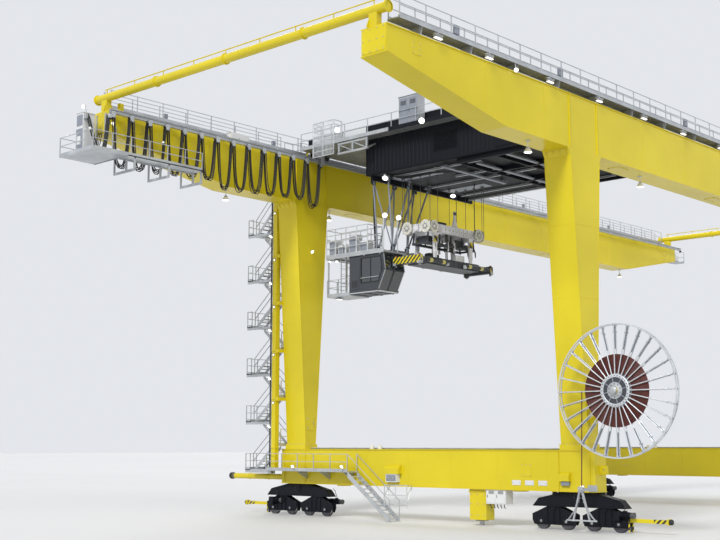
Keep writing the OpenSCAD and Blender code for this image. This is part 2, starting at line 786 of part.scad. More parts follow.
module machinery_house() {
    bed_h = 140;
    bed_t = 90;
    color([0.08, 0.09, 0.15]) {
        box([house_x0, house_y0, house_bottom], [house_x1, house_y1, house_top]);
        // Bed beams under the floor, clear of the hoist ropes
        for (y = [house_y0 + 100, house_y0 + 1500, house_y0 + 2900, house_y1 - 200])
            box([house_x0 + 100, y, house_bottom - bed_h], [house_x1 - 100, y + bed_t, house_bottom]);
        for (x = [house_x0 + 100, house_x0 + 1900, house_x1 - 1900, house_x1 - 190])
            box([x, house_y0 + 100, house_bottom - bed_h], [x + bed_t, house_y0 + 2990, house_bottom]);
    }
}

deck_z = house_top - 100;
trolley_deck_y1 = trolley_rail_y - carriage_w / 2 - 20;
module trolley_deck() {
    tow_y = track_y - bundle_w / 2 - 10 - fit;
    tow_z = track_z - carrier_h;
    color("lightgray") {
        box([house_x0 - 500, house_y0, deck_z - deck_t], [house_x0, trolley_deck_y1, deck_z]);
        box([house_x0, house_y1, deck_z - deck_t], [house_x1, trolley_deck_y1, deck_z]);
        // Towing arm for the last festoon carrier
        box([arm_x - 60, tow_y - 100, tow_z], [arm_x + 60, tow_y - 60, deck_z - deck_t]);
        box([arm_x - 60, tow_y - 100, tow_z], [arm_x + 60, tow_y, tow_z + 40]);
        // Control cabinet on the deck
        box([house_x0 - 440, -200, deck_z], [house_x0 - 100, 600, deck_z + 1000]);
    }
}

module trolley_handrails() {
    color("lightgray") {
        rail_y(house_y0, trolley_deck_y1, house_x0 - 500 + rail_t / 2, deck_z);
        rail_x(house_x0 + beam_w + 20, house_x1 - beam_w - 20, trolley_deck_y1 - rail_t / 2, deck_z);
    }
}

lattice_y = [cab_y0 - 15, cab_y0 + 650];
lattice_low = [cab_x0 + 470, cab_x0 + 1180];
lattice_top = [cab_x0 + 250, cab_x0 + 1330, cab_x0 + 2400];
lattice_d = 60;
lattice_pad = 60;

// Leg of the lattice between a low and a top node, and a cross brace in the end planes
module hanger_lattice() {
    z0 = cab_top + lattice_pad * 0.7;
    z1 = house_bottom - lattice_pad * 0.7;
    color([0.25, 0.26, 0.32]) {
        for (y = lattice_y) {
            for (x = lattice_low) box([x - 50, y - 50, cab_top], [x + 50, y + 50, cab_top + lattice_pad]);
            for (x = lattice_top)
                box([x - 50, y - 50, house_bottom - lattice_pad], [x + 50, y + 50, house_bottom]);
            for (p = [[0, 0], [0, 1], [1, 1], [1, 2]])
                rod([lattice_low[p[0]], y, z0], [lattice_top[p[1]], y, z1], lattice_d, 8);
            rod([lattice_low[0], y, z0], [lattice_low[1], y, z0], lattice_d, 8);
        }
        for (k = [0, 1])
            rod([lattice_low[k], lattice_y[k], z0], [lattice_low[k], lattice_y[1 - k], z0], lattice_d, 8);
        rod([lattice_low[0], lattice_y[0], z0], [lattice_top[0], lattice_y[1], z1], lattice_d - 15, 8);
        rod([lattice_low[1], lattice_y[0], z0], [lattice_top[2], lattice_y[1], z1], lattice_d - 15, 8);
    }
}

pane_t = 20;
cab_front = cab_y0 - 80;
cab_roof = cab_top - 60;
function cab_outline(c) = [
    [cab_y1 - c, cab_floor + c], [cab_y1 - c, cab_roof - c], [cab_y0 + c, cab_roof - c],
    [cab_front + c, cab_floor + 700], [cab_y0 + 260 + c, cab_floor + c]
];

// Outline of a side window, behind the front pillar
function side_window(c) = [
    [cab_y1 - 520 - c, cab_floor + 330 + c], [cab_y1 - 520 - c, cab_roof - 120 - c],
    [cab_y0 + 110 + c, cab_roof - 120 - c], [cab_front + 140 + c, cab_floor + 700],
    [cab_y0 + 200 + c, cab_floor + 330 + c]
];

module cab() {
    color([0.2, 0.21, 0.24]) difference() {
        plate_yz(cab_outline(0), cab_x0, cab_x0 + cab_w);
        for (x = [cab_x0, cab_x0 + cab_w])
            plate_yz(side_window(0), x - pane_t, x + pane_t);
    }
}

module cab_windows() {
    color([0.1, 0.12, 0.15]) {
        plate_yz(side_window(0), cab_x0 + pane_t / 2, cab_x0 + pane_t);
        plate_yz(side_window(0), cab_x0 + cab_w - pane_t, cab_x0 + cab_w - pane_t / 2);
    }
}

module cab_galleries() {
    ladder_y = cab_y1 + 200;
    color("lightgray") {
        box([cab_x0 - 50, cab_y0 - 70, cab_top - 60], [cab_x0 + 1500, cab_gallery_y1, cab_top]);
        box([cab_x0, cab_y1, cab_floor - 40], [cab_x0 + cab_w, cab_gallery_y1, cab_floor]);
        for (x = [cab_x0 + 20, cab_x0 + cab_w - 60])
            box([x, cab_gallery_y1 - 60, cab_floor], [x + 40, cab_gallery_y1 - 20, cab_top - 60]);
        rail_y(cab_y0 + 250, cab_gallery_y1, cab_x0 - 50 + rail_t / 2, cab_top, 700);
        rail_x(cab_x0 - 50, cab_x0 + 1500, cab_gallery_y1 - rail_t / 2, cab_top, 700);
        rail_y(cab_y1, cab_gallery_y1, cab_x0 + rail_t / 2, cab_floor, 500);
        rail_x(cab_x0, cab_x0 + cab_w, cab_gallery_y1 - rail_t / 2, cab_floor, 500);
        // Ladder between the two floors
        for (y = [ladder_y, ladder_y + 220])
            box([cab_x0 + 30, y, cab_floor], [cab_x0 + 60, y + 20, cab_top - 60]);
        for (k = [1 : 8])
            box([cab_x0 + 35, ladder_y + 10, cab_floor + k * (cab_h - 60) / 9 - 8],
                [cab_x0 + 55, ladder_y + 230, cab_floor + k * (cab_h - 60) / 9 + 8]);
    }
}

// Ropes stand in the sheaves' grooves and go up to the machinery house
rope_r = sheave_d / 2 - rope_d / 2 + fit;
module hoist_ropes() {
    color([0.2, 0.2, 0.2]) for (sx = sides, sy = sides, k = sides) {
        hoist_rope(sx * end_sheave_x, sy * end_sheave_y + k * rope_r);
        hoist_rope(sx * side_sheave_x + k * rope_r, sy * side_sheave_y);
    }
}

module hoist_rope(x, y) {
    rod([hoist_x + x, hoist_y + y, sheave_z], [hoist_x + x, hoist_y + y, house_bottom], rope_d, 8);
}

// A dished sheave on its axle; its outer face looks along +Z
module sheave() {
    sheave_w = 50;
    rim = 30;
    difference() {
        union() {
            cylinder(d = sheave_d - 2 * rope_d, h = sheave_w, center = true, $fn = 64);
            for (s = sides) translate([0, 0, s * (sheave_w / 2 - 4)])
                cylinder(d = sheave_d, h = 8, center = true, $fn = 64);
        }
        translate([0, 0, sheave_w / 2 - 12]) difference() {
            cylinder(d = sheave_d - 2 * rope_d - 2 * rim, h = sheave_w, $fn = 64);
            cylinder(d = 110, h = sheave_w, $fn = 32);
        }
    }
    translate([0, 0, -110]) cylinder(d = 70, h = 150, $fn = 32);
}

// A ring of beams with a pair of sheaves on each of its four sides
hb_x = end_sheave_x - 60;
hb_y = side_sheave_y - 50;
hb_z0 = sheave_z - 150;
hb_z1 = sheave_z + 110;
hb_t = 100;
module head_block() {
    color("lightsteelblue") translate([hoist_x, hoist_y, 0]) {
        difference() {
            box([-hb_x, -hb_y, hb_z0], [hb_x, hb_y, hb_z1]);
            box([-hb_x + hb_t, -hb_y + hb_t, hb_z0 - 10], [hb_x - hb_t, hb_y - hb_t, hb_z1 + 10]);
        }
        for (x = [-500, 400])
            box([x, -hb_y + hb_t, hb_z0], [x + hb_t, hb_y - hb_t, hb_z1 - 80]);
        // Block between the end sheaves
        for (s = sides)
            box([s * hb_x, -90, sheave_z - 120], [s * (hb_x + 80), 90, sheave_z + 100]);
        // Hangers down to the spreader
        for (sx = sides, sy = sides)
            plate_xz([[sx * 950 - 110, hb_z0], [sx * 950 + 110, hb_z0], [sx * 950 + 50, spreader_top],
                      [sx * 950 - 50, spreader_top]], sy * 380 - 35, sy * 380 + 35);
        // Trestle for the cable guide on the right beam
        plate_xz([[-130, hb_z1], [150, hb_z1], [40, hb_z1 + 300], [40, hb_z1 + 560], [-20, hb_z1 + 560],
                  [-20, hb_z1 + 300]], -hb_y + 20, -hb_y + 80);
    }
    color("ivory") translate([hoist_x, hoist_y, sheave_z]) for (sx = sides, sy = sides) {
        translate([sx * end_sheave_x, sy * end_sheave_y, 0]) rotate([0, sx * 90, 0]) sheave();
        translate([sx * side_sheave_x, sy * side_sheave_y, 0]) rotate([-sy * 90, 0, 0]) sheave();
    }
}

// Telescopic beams run on pads in two tunnels through the frame
beam_z = spreader_bottom + 96;
tele_w = 120;
tele_h = 148;
tunnel_gap = 6;
tele_len = 2750;
frame_y = spreader_w / 2 - arm_d - 45;
module spreader_frame() {
    color([0.3, 0.31, 0.34]) {
        difference() {
            box([hoist_x - frame_len / 2, hoist_y - frame_y, spreader_bottom + 60],
                [hoist_x + frame_len / 2, hoist_y + frame_y, spreader_top]);
            for (s = sides)
                box([hoist_x - frame_len, hoist_y + s * tunnel_y - tele_w / 2 - tunnel_gap, beam_z - tunnel_gap],
                    [hoist_x + frame_len, hoist_y + s * tunnel_y + tele_w / 2 + tunnel_gap,
                     beam_z + tele_h + tunnel_gap]);
        }
        for (s = sides, x = [-frame_len / 2 + 100, frame_len / 2 - 200])
            box([hoist_x + x, hoist_y + s * tunnel_y - tele_w / 2, beam_z - tunnel_gap - 1],
                [hoist_x + x + 100, hoist_y + s * tunnel_y + tele_w / 2, beam_z - fit]);
    }
}

// A spreader end: its cross beam, telescopic beam, corner fittings and arm pivots
pin_d = 60;
arm_y = spreader_w / 2 - arm_d / 2;
arm_z = spreader_bottom + 160;
arm_pivot_x = spreader_len / 2 - end_beam_w - arm_d / 2 - 10;
module spreader_end(s) {
    x = hoist_x + s * spreader_len / 2;
    color("gold")
        box([x, hoist_y - spreader_w / 2, spreader_bottom + 40],
            [x - s * end_beam_w, hoist_y + spreader_w / 2, spreader_top - 20]);
    color("gray") {
        box([x - s * end_beam_w, hoist_y + s * tunnel_y - tele_w / 2, beam_z],
            [x - s * (tele_len + end_beam_w), hoist_y + s * tunnel_y + tele_w / 2, beam_z + tele_h]);
        for (e = sides) {
            y = hoist_y + e * (arm_y - arm_d / 2 - 5);
            box([x - s * end_beam_w, y - e * 30, arm_z - 60],
                [hoist_x + s * (arm_pivot_x - 50), y, arm_z + 60]);
            translate([hoist_x + s * arm_pivot_x, y, arm_z]) rotate([-e * 90, 0, 0])
                cylinder(d = pin_d, h = arm_d, $fn = 48);
        }
    }
    color("silver") for (e = sides)
        box([x, hoist_y + e * spreader_w / 2, spreader_bottom],
            [x - s * 90, hoist_y + e * (spreader_w / 2 - 90), spreader_bottom + 40]);
}

// A pair of grapple arms, folded along the spreader, with their pivot at one end
module arms(s) {
    color([0.2, 0.2, 0.22]) for (e = sides) {
        y = hoist_y + e * arm_y;
        difference() {
            union() {
                rod([hoist_x + s * arm_pivot_x, y, arm_z],
                    [hoist_x + s * (arm_pivot_x - arm_len), y, arm_z], arm_d - 20, 12);
                translate([hoist_x + s * arm_pivot_x, y, arm_z]) rotate([90, 0, 0])
                    cylinder(d = arm_d, h = arm_d, center = true, $fn = 48);
            }
            translate([hoist_x + s * arm_pivot_x, y, arm_z]) rotate([90, 0, 0])
                cylinder(d = pin_d + 2 * fit, h = 2 * arm_d, center = true, $fn = 48);
        }
    }
}

girder(1);  // girder_left
girder(-1);  // girder_right
legs(-1);  // legs_near
legs(1);  // legs_far
sill(-1);  // sill_near
sill(1);  // sill_far
end_ties();
trolley_tracks();
walkways();
walkway_rails();
festoon_track();
festoon_loops();
end_galleries();
gallery_rails();
stair_mast();
stair_landings();
stair_treads();
stair_rails();
sill_platform();
sill_platform_rails();
bogies();
buffers();
reel_bracket();
reel();
reel_winding();
reel_cable();
cable_guide();
floodlights();
cabinets();
for (n = [1 : 16])
    wheel(n);
trolley_frame();
machinery_house();
trolley_deck();
trolley_handrails();
hanger_lattice();
cab();
cab_windows();
cab_galleries();
hoist_ropes();
head_block();
spreader_frame();
spreader_end(-1);  // spreader_end_near
spreader_end(1);  // spreader_end_far
arms(-1);  // arms_near
arms(1);  // arms_far
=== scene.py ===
"""Dresses the rail mounted gantry crane, a 1:2 scale model, over its packed frame."""
from itertools import product
from math import cos, pi, radians, sin

import bmesh
import bpy
from mathutils import Matrix, Vector


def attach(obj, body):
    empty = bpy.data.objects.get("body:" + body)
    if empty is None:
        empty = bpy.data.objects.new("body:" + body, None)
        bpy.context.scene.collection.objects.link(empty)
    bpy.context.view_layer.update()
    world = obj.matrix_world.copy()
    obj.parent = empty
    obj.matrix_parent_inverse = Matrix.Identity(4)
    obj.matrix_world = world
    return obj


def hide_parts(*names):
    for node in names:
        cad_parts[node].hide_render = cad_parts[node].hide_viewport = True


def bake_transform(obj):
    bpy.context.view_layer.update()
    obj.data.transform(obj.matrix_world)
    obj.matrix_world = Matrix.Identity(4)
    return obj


bl_info = {
    "name": "Rail Mounted Gantry Crane",
    "version": (1, 0, 0),
    "blender": (4, 5, 0),
    "location": "View3D > Sidebar > Crane",
    "description": "Dresses the packed frame of a rail mounted gantry crane",
    "category": "Object",
}

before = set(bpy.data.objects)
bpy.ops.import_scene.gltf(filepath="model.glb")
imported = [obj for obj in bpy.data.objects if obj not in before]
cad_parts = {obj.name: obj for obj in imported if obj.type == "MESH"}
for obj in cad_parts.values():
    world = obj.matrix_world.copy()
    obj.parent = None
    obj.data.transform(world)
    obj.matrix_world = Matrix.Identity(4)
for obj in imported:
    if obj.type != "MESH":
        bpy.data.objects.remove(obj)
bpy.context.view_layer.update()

# Places in metres, as in the part's source
SPAN, GAP, TIP = 8.75, 5.5, 17.25
TOP, BOTTOM = 12.2, 10.6
TAPER_X, TAPER_RISE = 12.5, 0.9
RAIL_Y, FESTOON_Y = 5.15, 4.775
FOOT_Z, HEAD_Z, FOOT_HALF, HEAD_HALF = 2.35, 10.4, 0.2375, 0.75
AXLE_Z, AXLE_PITCH, BUFFER_Z, TIE_X, TIE_Z = 0.225, 0.825, 1.25, 17.12, 12.65
WALK_Y, WALK_Z = 5.785, 12.45
HOIST = Vector((-6.4, 1.11, 0))
REEL = Vector((-9.72, -7.3, 3.75))
SHEAVE_Z = 9.41
SIDES = (-1, 1)
CORNERS = tuple(product(SIDES, SIDES))

# Places of the sheaves on the head block, and from a sheave's middle to its falls
END_X, END_Y, SIDE_X, SIDE_Y, FALL = 1.45, 0.39, 1.2, 0.55, 0.2023

# Names of the finishes
YELLOW, NAVY, GREY, MID, PALE = "yellow_paint", "navy_paint", "grey_paint", "mid_grey", "pale_paint"
WHITE, CREAM, BLACK, RUBBER = "white_paint", "cream_paint", "black_paint", "black_rubber"
GALV, BRIGHT, GRATING = "galvanised", "bright_zinc", "grating"
DARK, STEEL = "dark_steel", "bright_steel"
LENS, SOFT, HAZARD, HAZARD_X = "lamp_lens", "soft_lens", "hazard", "hazard_x"


# Sizes and colours that a user may change

def colour(name, text, value):
    return bpy.props.FloatVectorProperty(name=name, description=text, size=3, min=0, max=1,
        subtype="COLOR", default=value)


def size(name, text, value, low, high):
    return bpy.props.FloatProperty(name=name, description=text, default=value, min=low, max=high,
        unit="LENGTH")


class CraneFinishes(bpy.types.PropertyGroup):
    yellow: colour("Yellow paint", "Girders, legs and sills", (0.7, 0.57, 0.01))
    navy: colour("Navy paint", "Trolley, machinery house and bogies", (0.005, 0.006, 0.01))
    grey: colour("Grey paint", "Cab, lattice and spreader", (0.055, 0.06, 0.07))
    zinc: colour("Galvanised steel", "Walkways, stairs and handrails", (0.46, 0.48, 0.5))
    lilac: colour("Pale paint", "Head block", (0.78, 0.78, 0.81))
    cream: colour("Sheave paint", "Rope sheaves", (0.72, 0.7, 0.62))
    cable_red: colour("Supply cable", "Cable on the reel", (0.085, 0.018, 0.013))


class CraneSizes(bpy.types.PropertyGroup):
    festoon_r: size("Festoon cable", "Radius of one festoon cable", 0.0155, 0.008, 0.02)
    weld_w: size("Weld seam", "Width of a weld seam on the plates", 0.012, 0.004, 0.03)
    hose_r: size("Hose", "Radius of a hydraulic hose", 0.011, 0.006, 0.016)


# Shapes

SHARP_ANGLE = radians(40)
MERGE = 1e-5
BOLT_SIDES, BOLT_HEIGHT = 6, 0.9


def about(centre, half):
    """The two ends of a span that lies about a centre."""
    return centre - half, centre + half


def ring(n, r, first=0.0):
    """The n places of a bolt circle as (cosine, sine) times its radius."""
    return [(r * cos(a), r * sin(a)) for a in (first + 2 * pi * k / n for k in range(n))]


def collar(r0, h0, r1, h1):
    """Profile of a band: radius r0 at the heights -h0 and h0, r1 at -h1 and h1."""
    return [(r0, -h0), (r1, -h1), (r1, h1), (r0, h0)]


class Shape:
    """One piece, made of bmesh shapes with a finish each; its places count from origin."""

    def __init__(self, name, origin=(0, 0, 0)):
        self.name, self.bm, self.finishes = name, bmesh.new(), []
        self.origin = Vector(origin)

    def at(self, p):
        return self.origin + Vector(p)

    def _finish(self, verts, finish):
        if finish not in self.finishes:
            self.finishes.append(finish)
        slot = self.finishes.index(finish)
        for f in {f for v in verts for f in v.link_faces}:
            f.material_index = slot

    def box(self, a, b, finish, bevel=0.0):
        a, b = self.at(a), self.at(b)
        d = Vector([max(abs(x), 1e-4) for x in b - a])
        at = Matrix.Translation((a + b) / 2) @ Matrix.Diagonal((*d, 1))
        verts = bmesh.ops.create_cube(self.bm, size=1, matrix=at)["verts"]
        if bevel:
            edges = list({e for v in verts for e in v.link_edges})
            made = bmesh.ops.bevel(self.bm, geom=edges, offset=bevel, segments=1, profile=0.5,
                affect="EDGES", material=-1)
            verts = list({v for f in made["faces"] for v in f.verts})
        self._finish(verts, finish)

    def slab(self, x, y, z, finish, bevel=0.0):
        """A box by its spans on the three axes."""
        self.box(*zip(x, y, z), finish, bevel)

    def _along(self, p, q):
        p, q = self.at(p), self.at(q)
        v = q - p
        turned = v.to_track_quat("Z", "Y").to_matrix().to_4x4()
        return Matrix.Translation((p + q) / 2) @ turned, v.length

    def bar(self, p, q, w, h, finish):
        at, n = self._along(p, q)
        made = bmesh.ops.create_cube(self.bm, size=1, matrix=at @ Matrix.Diagonal((w, h, n, 1)))
        self._finish(made["verts"], finish)

    def rod(self, p, q, r, finish, n=10):
        at, d = self._along(p, q)
        made = bmesh.ops.create_cone(self.bm, cap_ends=True, segments=n, radius1=r, radius2=r,
            depth=d, matrix=at)
        self._finish(made["verts"], finish)

    def pipe(self, points, r, finish, n=8):
        """A round pipe along points: a circle, extruded from point to point."""
        pts = [self.at(p) for p in points]
        ends, side = None, None
        for i, p in enumerate(pts):
            t = (pts[min(i + 1, len(pts) - 1)] - pts[max(i - 1, 0)]).normalized()
            if side is None:
                side = t.orthogonal().normalized()
            side = (side - t * side.dot(t)).normalized()
            m = Matrix.Translation(p) @ Matrix((side, t.cross(side), t)).transposed().to_4x4()
            if ends is None:
                ends = bmesh.ops.create_circle(self.bm, cap_ends=True, segments=n, radius=r,
                    matrix=m)["verts"]
                made, edges = list(ends), list({e for v in ends for e in v.link_edges})
            else:
                out = bmesh.ops.extrude_edge_only(self.bm, edges=edges)["geom"]
                ends = [v for v in out if isinstance(v, bmesh.types.BMVert)]
                edges = [e for e in out if isinstance(e, bmesh.types.BMEdge) and all(v in ends
                    for v in e.verts)]
                bmesh.ops.transform(self.bm, matrix=m @ last.inverted(), verts=ends)
                made += ends
            last = m
        bmesh.ops.contextual_create(self.bm, geom=edges)
        self._finish(made, finish)

    def lathe(self, centre, axis, profile, finish, steps=32):
        """A turned shape: profile is (radius, height) pairs along the axis."""
        z = Vector(axis).normalized()
        x = z.orthogonal().normalized()
        c, before = self.at(centre), set(self.bm.verts)
        verts = [self.bm.verts.new(c + x * max(r, 1e-5) + z * h) for r, h in profile]
        edges = [self.bm.edges.new(p) for p in zip(verts, verts[1:])]
        bmesh.ops.spin(self.bm, geom=verts + edges, cent=c, axis=z, angle=2 * pi, steps=steps,
            use_merge=True, use_duplicate=False)
        self._finish([v for v in self.bm.verts if v not in before], finish)

    def plate(self, points, depth, finish):
        """A flat plate: its outline, extruded by the vector depth."""
        verts = [self.bm.verts.new(self.at(p)) for p in points]
        face = self.bm.faces.new(verts)
        out = bmesh.ops.extrude_face_region(self.bm, geom=[face])["geom"]
        moved = [v for v in out if isinstance(v, bmesh.types.BMVert)]
        bmesh.ops.translate(self.bm, vec=depth, verts=moved)
        self._finish(verts + moved, finish)

    def bolts(self, points, axis, finish, r):
        for p in points:
            self.rod(p, Vector(p) + Vector(axis) * r * BOLT_HEIGHT, r, finish, BOLT_SIDES)

    def done(self, body="root", replaces=(), ride=True):
        bmesh.ops.remove_doubles(self.bm, verts=self.bm.verts, dist=MERGE)
        bmesh.ops.recalc_face_normals(self.bm, faces=self.bm.faces)
        mesh = bpy.data.meshes.new(self.name)
        self.bm.to_mesh(mesh)
        self.bm.free()
        mesh.shade_smooth()
        mesh.set_sharp_from_angle(angle=SHARP_ANGLE)
        for f in self.finishes:
            mesh.materials.append(paint(f))
        obj = bpy.data.objects.new(self.name, mesh)
        bpy.context.scene.collection.objects.link(obj)
        if ride:
            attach(obj, body)
        if replaces:
            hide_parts(*replaces)
        return obj


# Finishes

class Nodes:
    """A material's node tree with short ways to add and join nodes."""

    def __init__(self, name):
        self.material = bpy.data.materials.new(name)
        self.material.use_nodes = True
        self.tree = self.material.node_tree
        self.shader = self.tree.nodes["Principled BSDF"]
        self.place = self.add("ShaderNodeTexCoord").outputs["Object"]

    def add(self, kind, inputs=None, **settings):
        node = self.tree.nodes.new(kind)
        for key, value in settings.items():
            setattr(node, key, value)
        for key, value in (inputs or {}).items():
            if isinstance(value, bpy.types.NodeSocket):
                self.tree.links.new(value, node.inputs[key])
            else:
                node.inputs[key].default_value = value
        return node

    def noise(self, scale, detail=3.0, stretch=None):
        place = self.place
        if stretch:
            place = self.add("ShaderNodeMapping", {"Vector": place, "Scale": stretch}).outputs[0]
        return self.add("ShaderNodeTexNoise", {"Vector": place, "Scale": scale,
            "Detail": detail}).outputs[0]

    def math(self, operation, *values):
        return self.add("ShaderNodeMath", dict(enumerate(values)), operation=operation).outputs[0]

    def rough(self, scale, detail, low, high):
        """Roughness that wanders between low and high."""
        spread = {"Value": self.noise(scale, detail), "To Min": low, "To Max": high}
        self.set("Roughness", self.add("ShaderNodeMapRange", spread).outputs[0])

    def base(self):
        """The socket that the base colour comes from so far."""
        return self.shader.inputs["Base Color"].links[0].from_socket

    def ramp(self, factor, low, high):
        node = self.add("ShaderNodeMapRange", {"Value": factor, "From Min": low, "From Max": high})
        return node.outputs[0]

    def mix(self, factor, a, b):
        node = self.add("ShaderNodeMix", data_type="RGBA")
        for socket, value in zip((node.inputs[0], node.inputs[6], node.inputs[7]), (factor, a, b)):
            if isinstance(value, bpy.types.NodeSocket):
                self.tree.links.new(value, socket)
            else:
                socket.default_value = value if isinstance(value, float) else (*value[:3], 1)
        return node.outputs[2]

    def set(self, name, value):
        if isinstance(value, bpy.types.NodeSocket):
            self.tree.links.new(value, self.shader.inputs[name])
        else:
            self.shader.inputs[name].default_value = value

    def bump(self, height, strength, distance, normal=None):
        inputs = {"Height": height, "Strength": strength, "Distance": distance}
        if normal:
            inputs["Normal"] = normal
        return self.add("ShaderNodeBump", inputs).outputs[0]


def tint(c, k):
    return tuple(min(1.0, v * k) for v in c)


def painted(n, base, rough, dirt=0.25, orange=0.25, grime=(0.09, 0.075, 0.05), coat=0.12,
        shine=0.4):
    """Sprayed paint: soft tone changes, rain streaks, dust and an orange peel."""
    tone = n.mix(n.ramp(n.noise(0.35, 4), 0.35, 0.65), tint(base, 0.93), tint(base, 1.06))
    streak = n.ramp(n.noise(2.2, 5, (1, 1, 0.12)), 0.56, 0.8)
    spot = n.ramp(n.noise(9, 6), 0.6, 0.82)
    both = n.math("MULTIPLY", streak, spot)
    part = n.math("MULTIPLY", both, dirt)
    n.set("Base Color", n.mix(part, tone, grime))
    n.rough(3, 4, rough - 0.07, rough + 0.12)
    n.set("Normal", n.bump(n.noise(40, 2), orange, 0.002, n.bump(n.noise(1.1, 2), 0.2, 0.01)))
    n.set("Specular IOR Level", shine)
    n.set("Coat Weight", coat)
    n.set("Coat Roughness", 0.18)


def zinc(n, base, rough=0.42, metal=0.55):
    """Hot dip zinc: spangles, a dull bloom and run marks."""
    cells = n.add("ShaderNodeTexVoronoi", {"Vector": n.place, "Scale": 28.0})
    tone = n.mix(cells.outputs["Distance"], tint(base, 1.12), tint(base, 0.86))
    bloom = n.ramp(n.noise(2.4, 5), 0.4, 0.75)
    n.set("Base Color", n.mix(bloom, tone, tint(base, 1.25)))
    n.set("Metallic", metal)
    n.rough(6, 4, rough - 0.1, rough + 0.14)
    n.set("Normal", n.bump(n.noise(55, 3), 0.25, 0.002))


def grating(n, base):
    """Open steel grating: dark meshes between bright bearing bars."""
    zinc(n, base)
    xyz = n.add("ShaderNodeSeparateXYZ", {"Vector": n.place})
    lines = []
    for axis, pitch in ((0, 0.034), (1, 0.05)):
        f = n.math("MULTIPLY", xyz.outputs[axis], 1 / pitch)
        f = n.math("FRACT", f)
        lines.append(n.math("GREATER_THAN", f, 0.36))
    shaded_hole = n.math("MULTIPLY", lines[0], lines[1])
    up = n.add("ShaderNodeSeparateXYZ",
        {"Vector": n.add("ShaderNodeNewGeometry").outputs["Normal"]})
    flat = n.math("ABSOLUTE", up.outputs[2])
    flat = n.math("GREATER_THAN", flat, 0.7)
    shaded_hole = n.math("MULTIPLY", shaded_hole, flat)
    was = n.base()
    # Painted shade: the openings on flat faces are coloured near black, and the same mask gives
    # them a small relief.
    n.set("Base Color", n.mix(shaded_hole, was, (0.035, 0.037, 0.04)))
    n.set("Normal", n.bump(shaded_hole, 0.6, -0.01))


def stripes(n, a, b, pitch, rough, turn=(1, 1, 1)):
    """Slanted warning bands, sharp edged, over worn paint."""
    painted(n, a, rough)
    was = n.base()
    along = n.add("ShaderNodeVectorMath", {0: n.place, 1: turn},
        operation="DOT_PRODUCT").outputs["Value"]
    f = n.math("MULTIPLY", along, 1 / pitch)
    f = n.math("FRACT", f)
    f = n.math("GREATER_THAN", f, 0.5)
    n.set("Base Color", n.mix(f, was, b))


def steel(n, base, rough, metal=0.9):
    """Worn bare steel: bright runs and darker scale."""
    worn = n.ramp(n.noise(4, 6, (0.4, 0.4, 2)), 0.35, 0.7)
    n.set("Base Color", n.mix(worn, tint(base, 0.7), tint(base, 1.35)))
    n.set("Metallic", metal)
    n.rough(12, 5, rough - 0.1, rough + 0.15)
    n.set("Normal", n.bump(n.noise(70, 4), 0.35, 0.002))


def rubber(n, base, rough=0.62):
    tone = n.mix(n.ramp(n.noise(7, 4), 0.3, 0.75), tint(base, 0.85), tint(base, 1.5))
    n.set("Base Color", tone)
    n.rough(20, 3, rough - 0.1, rough + 0.12)
    n.set("Normal", n.bump(n.noise(120, 2), 0.2, 0.001))


def rope(n, base):
    """Wire rope: slanted strands with grease between them."""
    wave = n.add("ShaderNodeTexWave", {"Vector": n.place, "Scale": 14.0, "Distortion": 0.6},
        wave_type="BANDS", bands_direction="DIAGONAL")
    n.set("Base Color", n.mix(wave.outputs["Fac"], tint(base, 0.5), tint(base, 1.6)))
    n.set("Metallic", 0.7)
    n.set("Roughness", 0.45)
    n.set("Normal", n.bump(wave.outputs["Fac"], 0.6, 0.003))


def glass(n, base):
    n.set("Base Color", n.mix(n.ramp(n.noise(0.8, 3), 0.3, 0.7), tint(base, 0.8), tint(base, 1.5)))
    n.rough(5, 3, 0.03, 0.12)
    n.set("IOR", 1.5)
    n.set("Specular IOR Level", 0.9)
    n.set("Coat Weight", 0.6)
    n.set("Coat Roughness", 0.03)


def lens(n, base, strength):
    """A lit lens, with its prisms as a fine relief."""
    cells = n.add("ShaderNodeTexVoronoi", {"Vector": n.place, "Scale": 45.0}).outputs["Distance"]
    n.set("Base Color", n.mix(cells, base, tint(base, 0.9)))
    n.set("Emission Color", (*base, 1))
    n.set("Emission Strength", strength)
    n.set("Roughness", 0.25)
    n.set("Normal", n.bump(cells, 0.3, 0.002))


def floor_paint(n):
    n.set("Base Color", n.mix(n.ramp(n.noise(0.05, 2), 0.3, 0.7), (0.66, 0.66, 0.665),
        (0.69, 0.69, 0.695)))
    n.set("Roughness", 0.8)


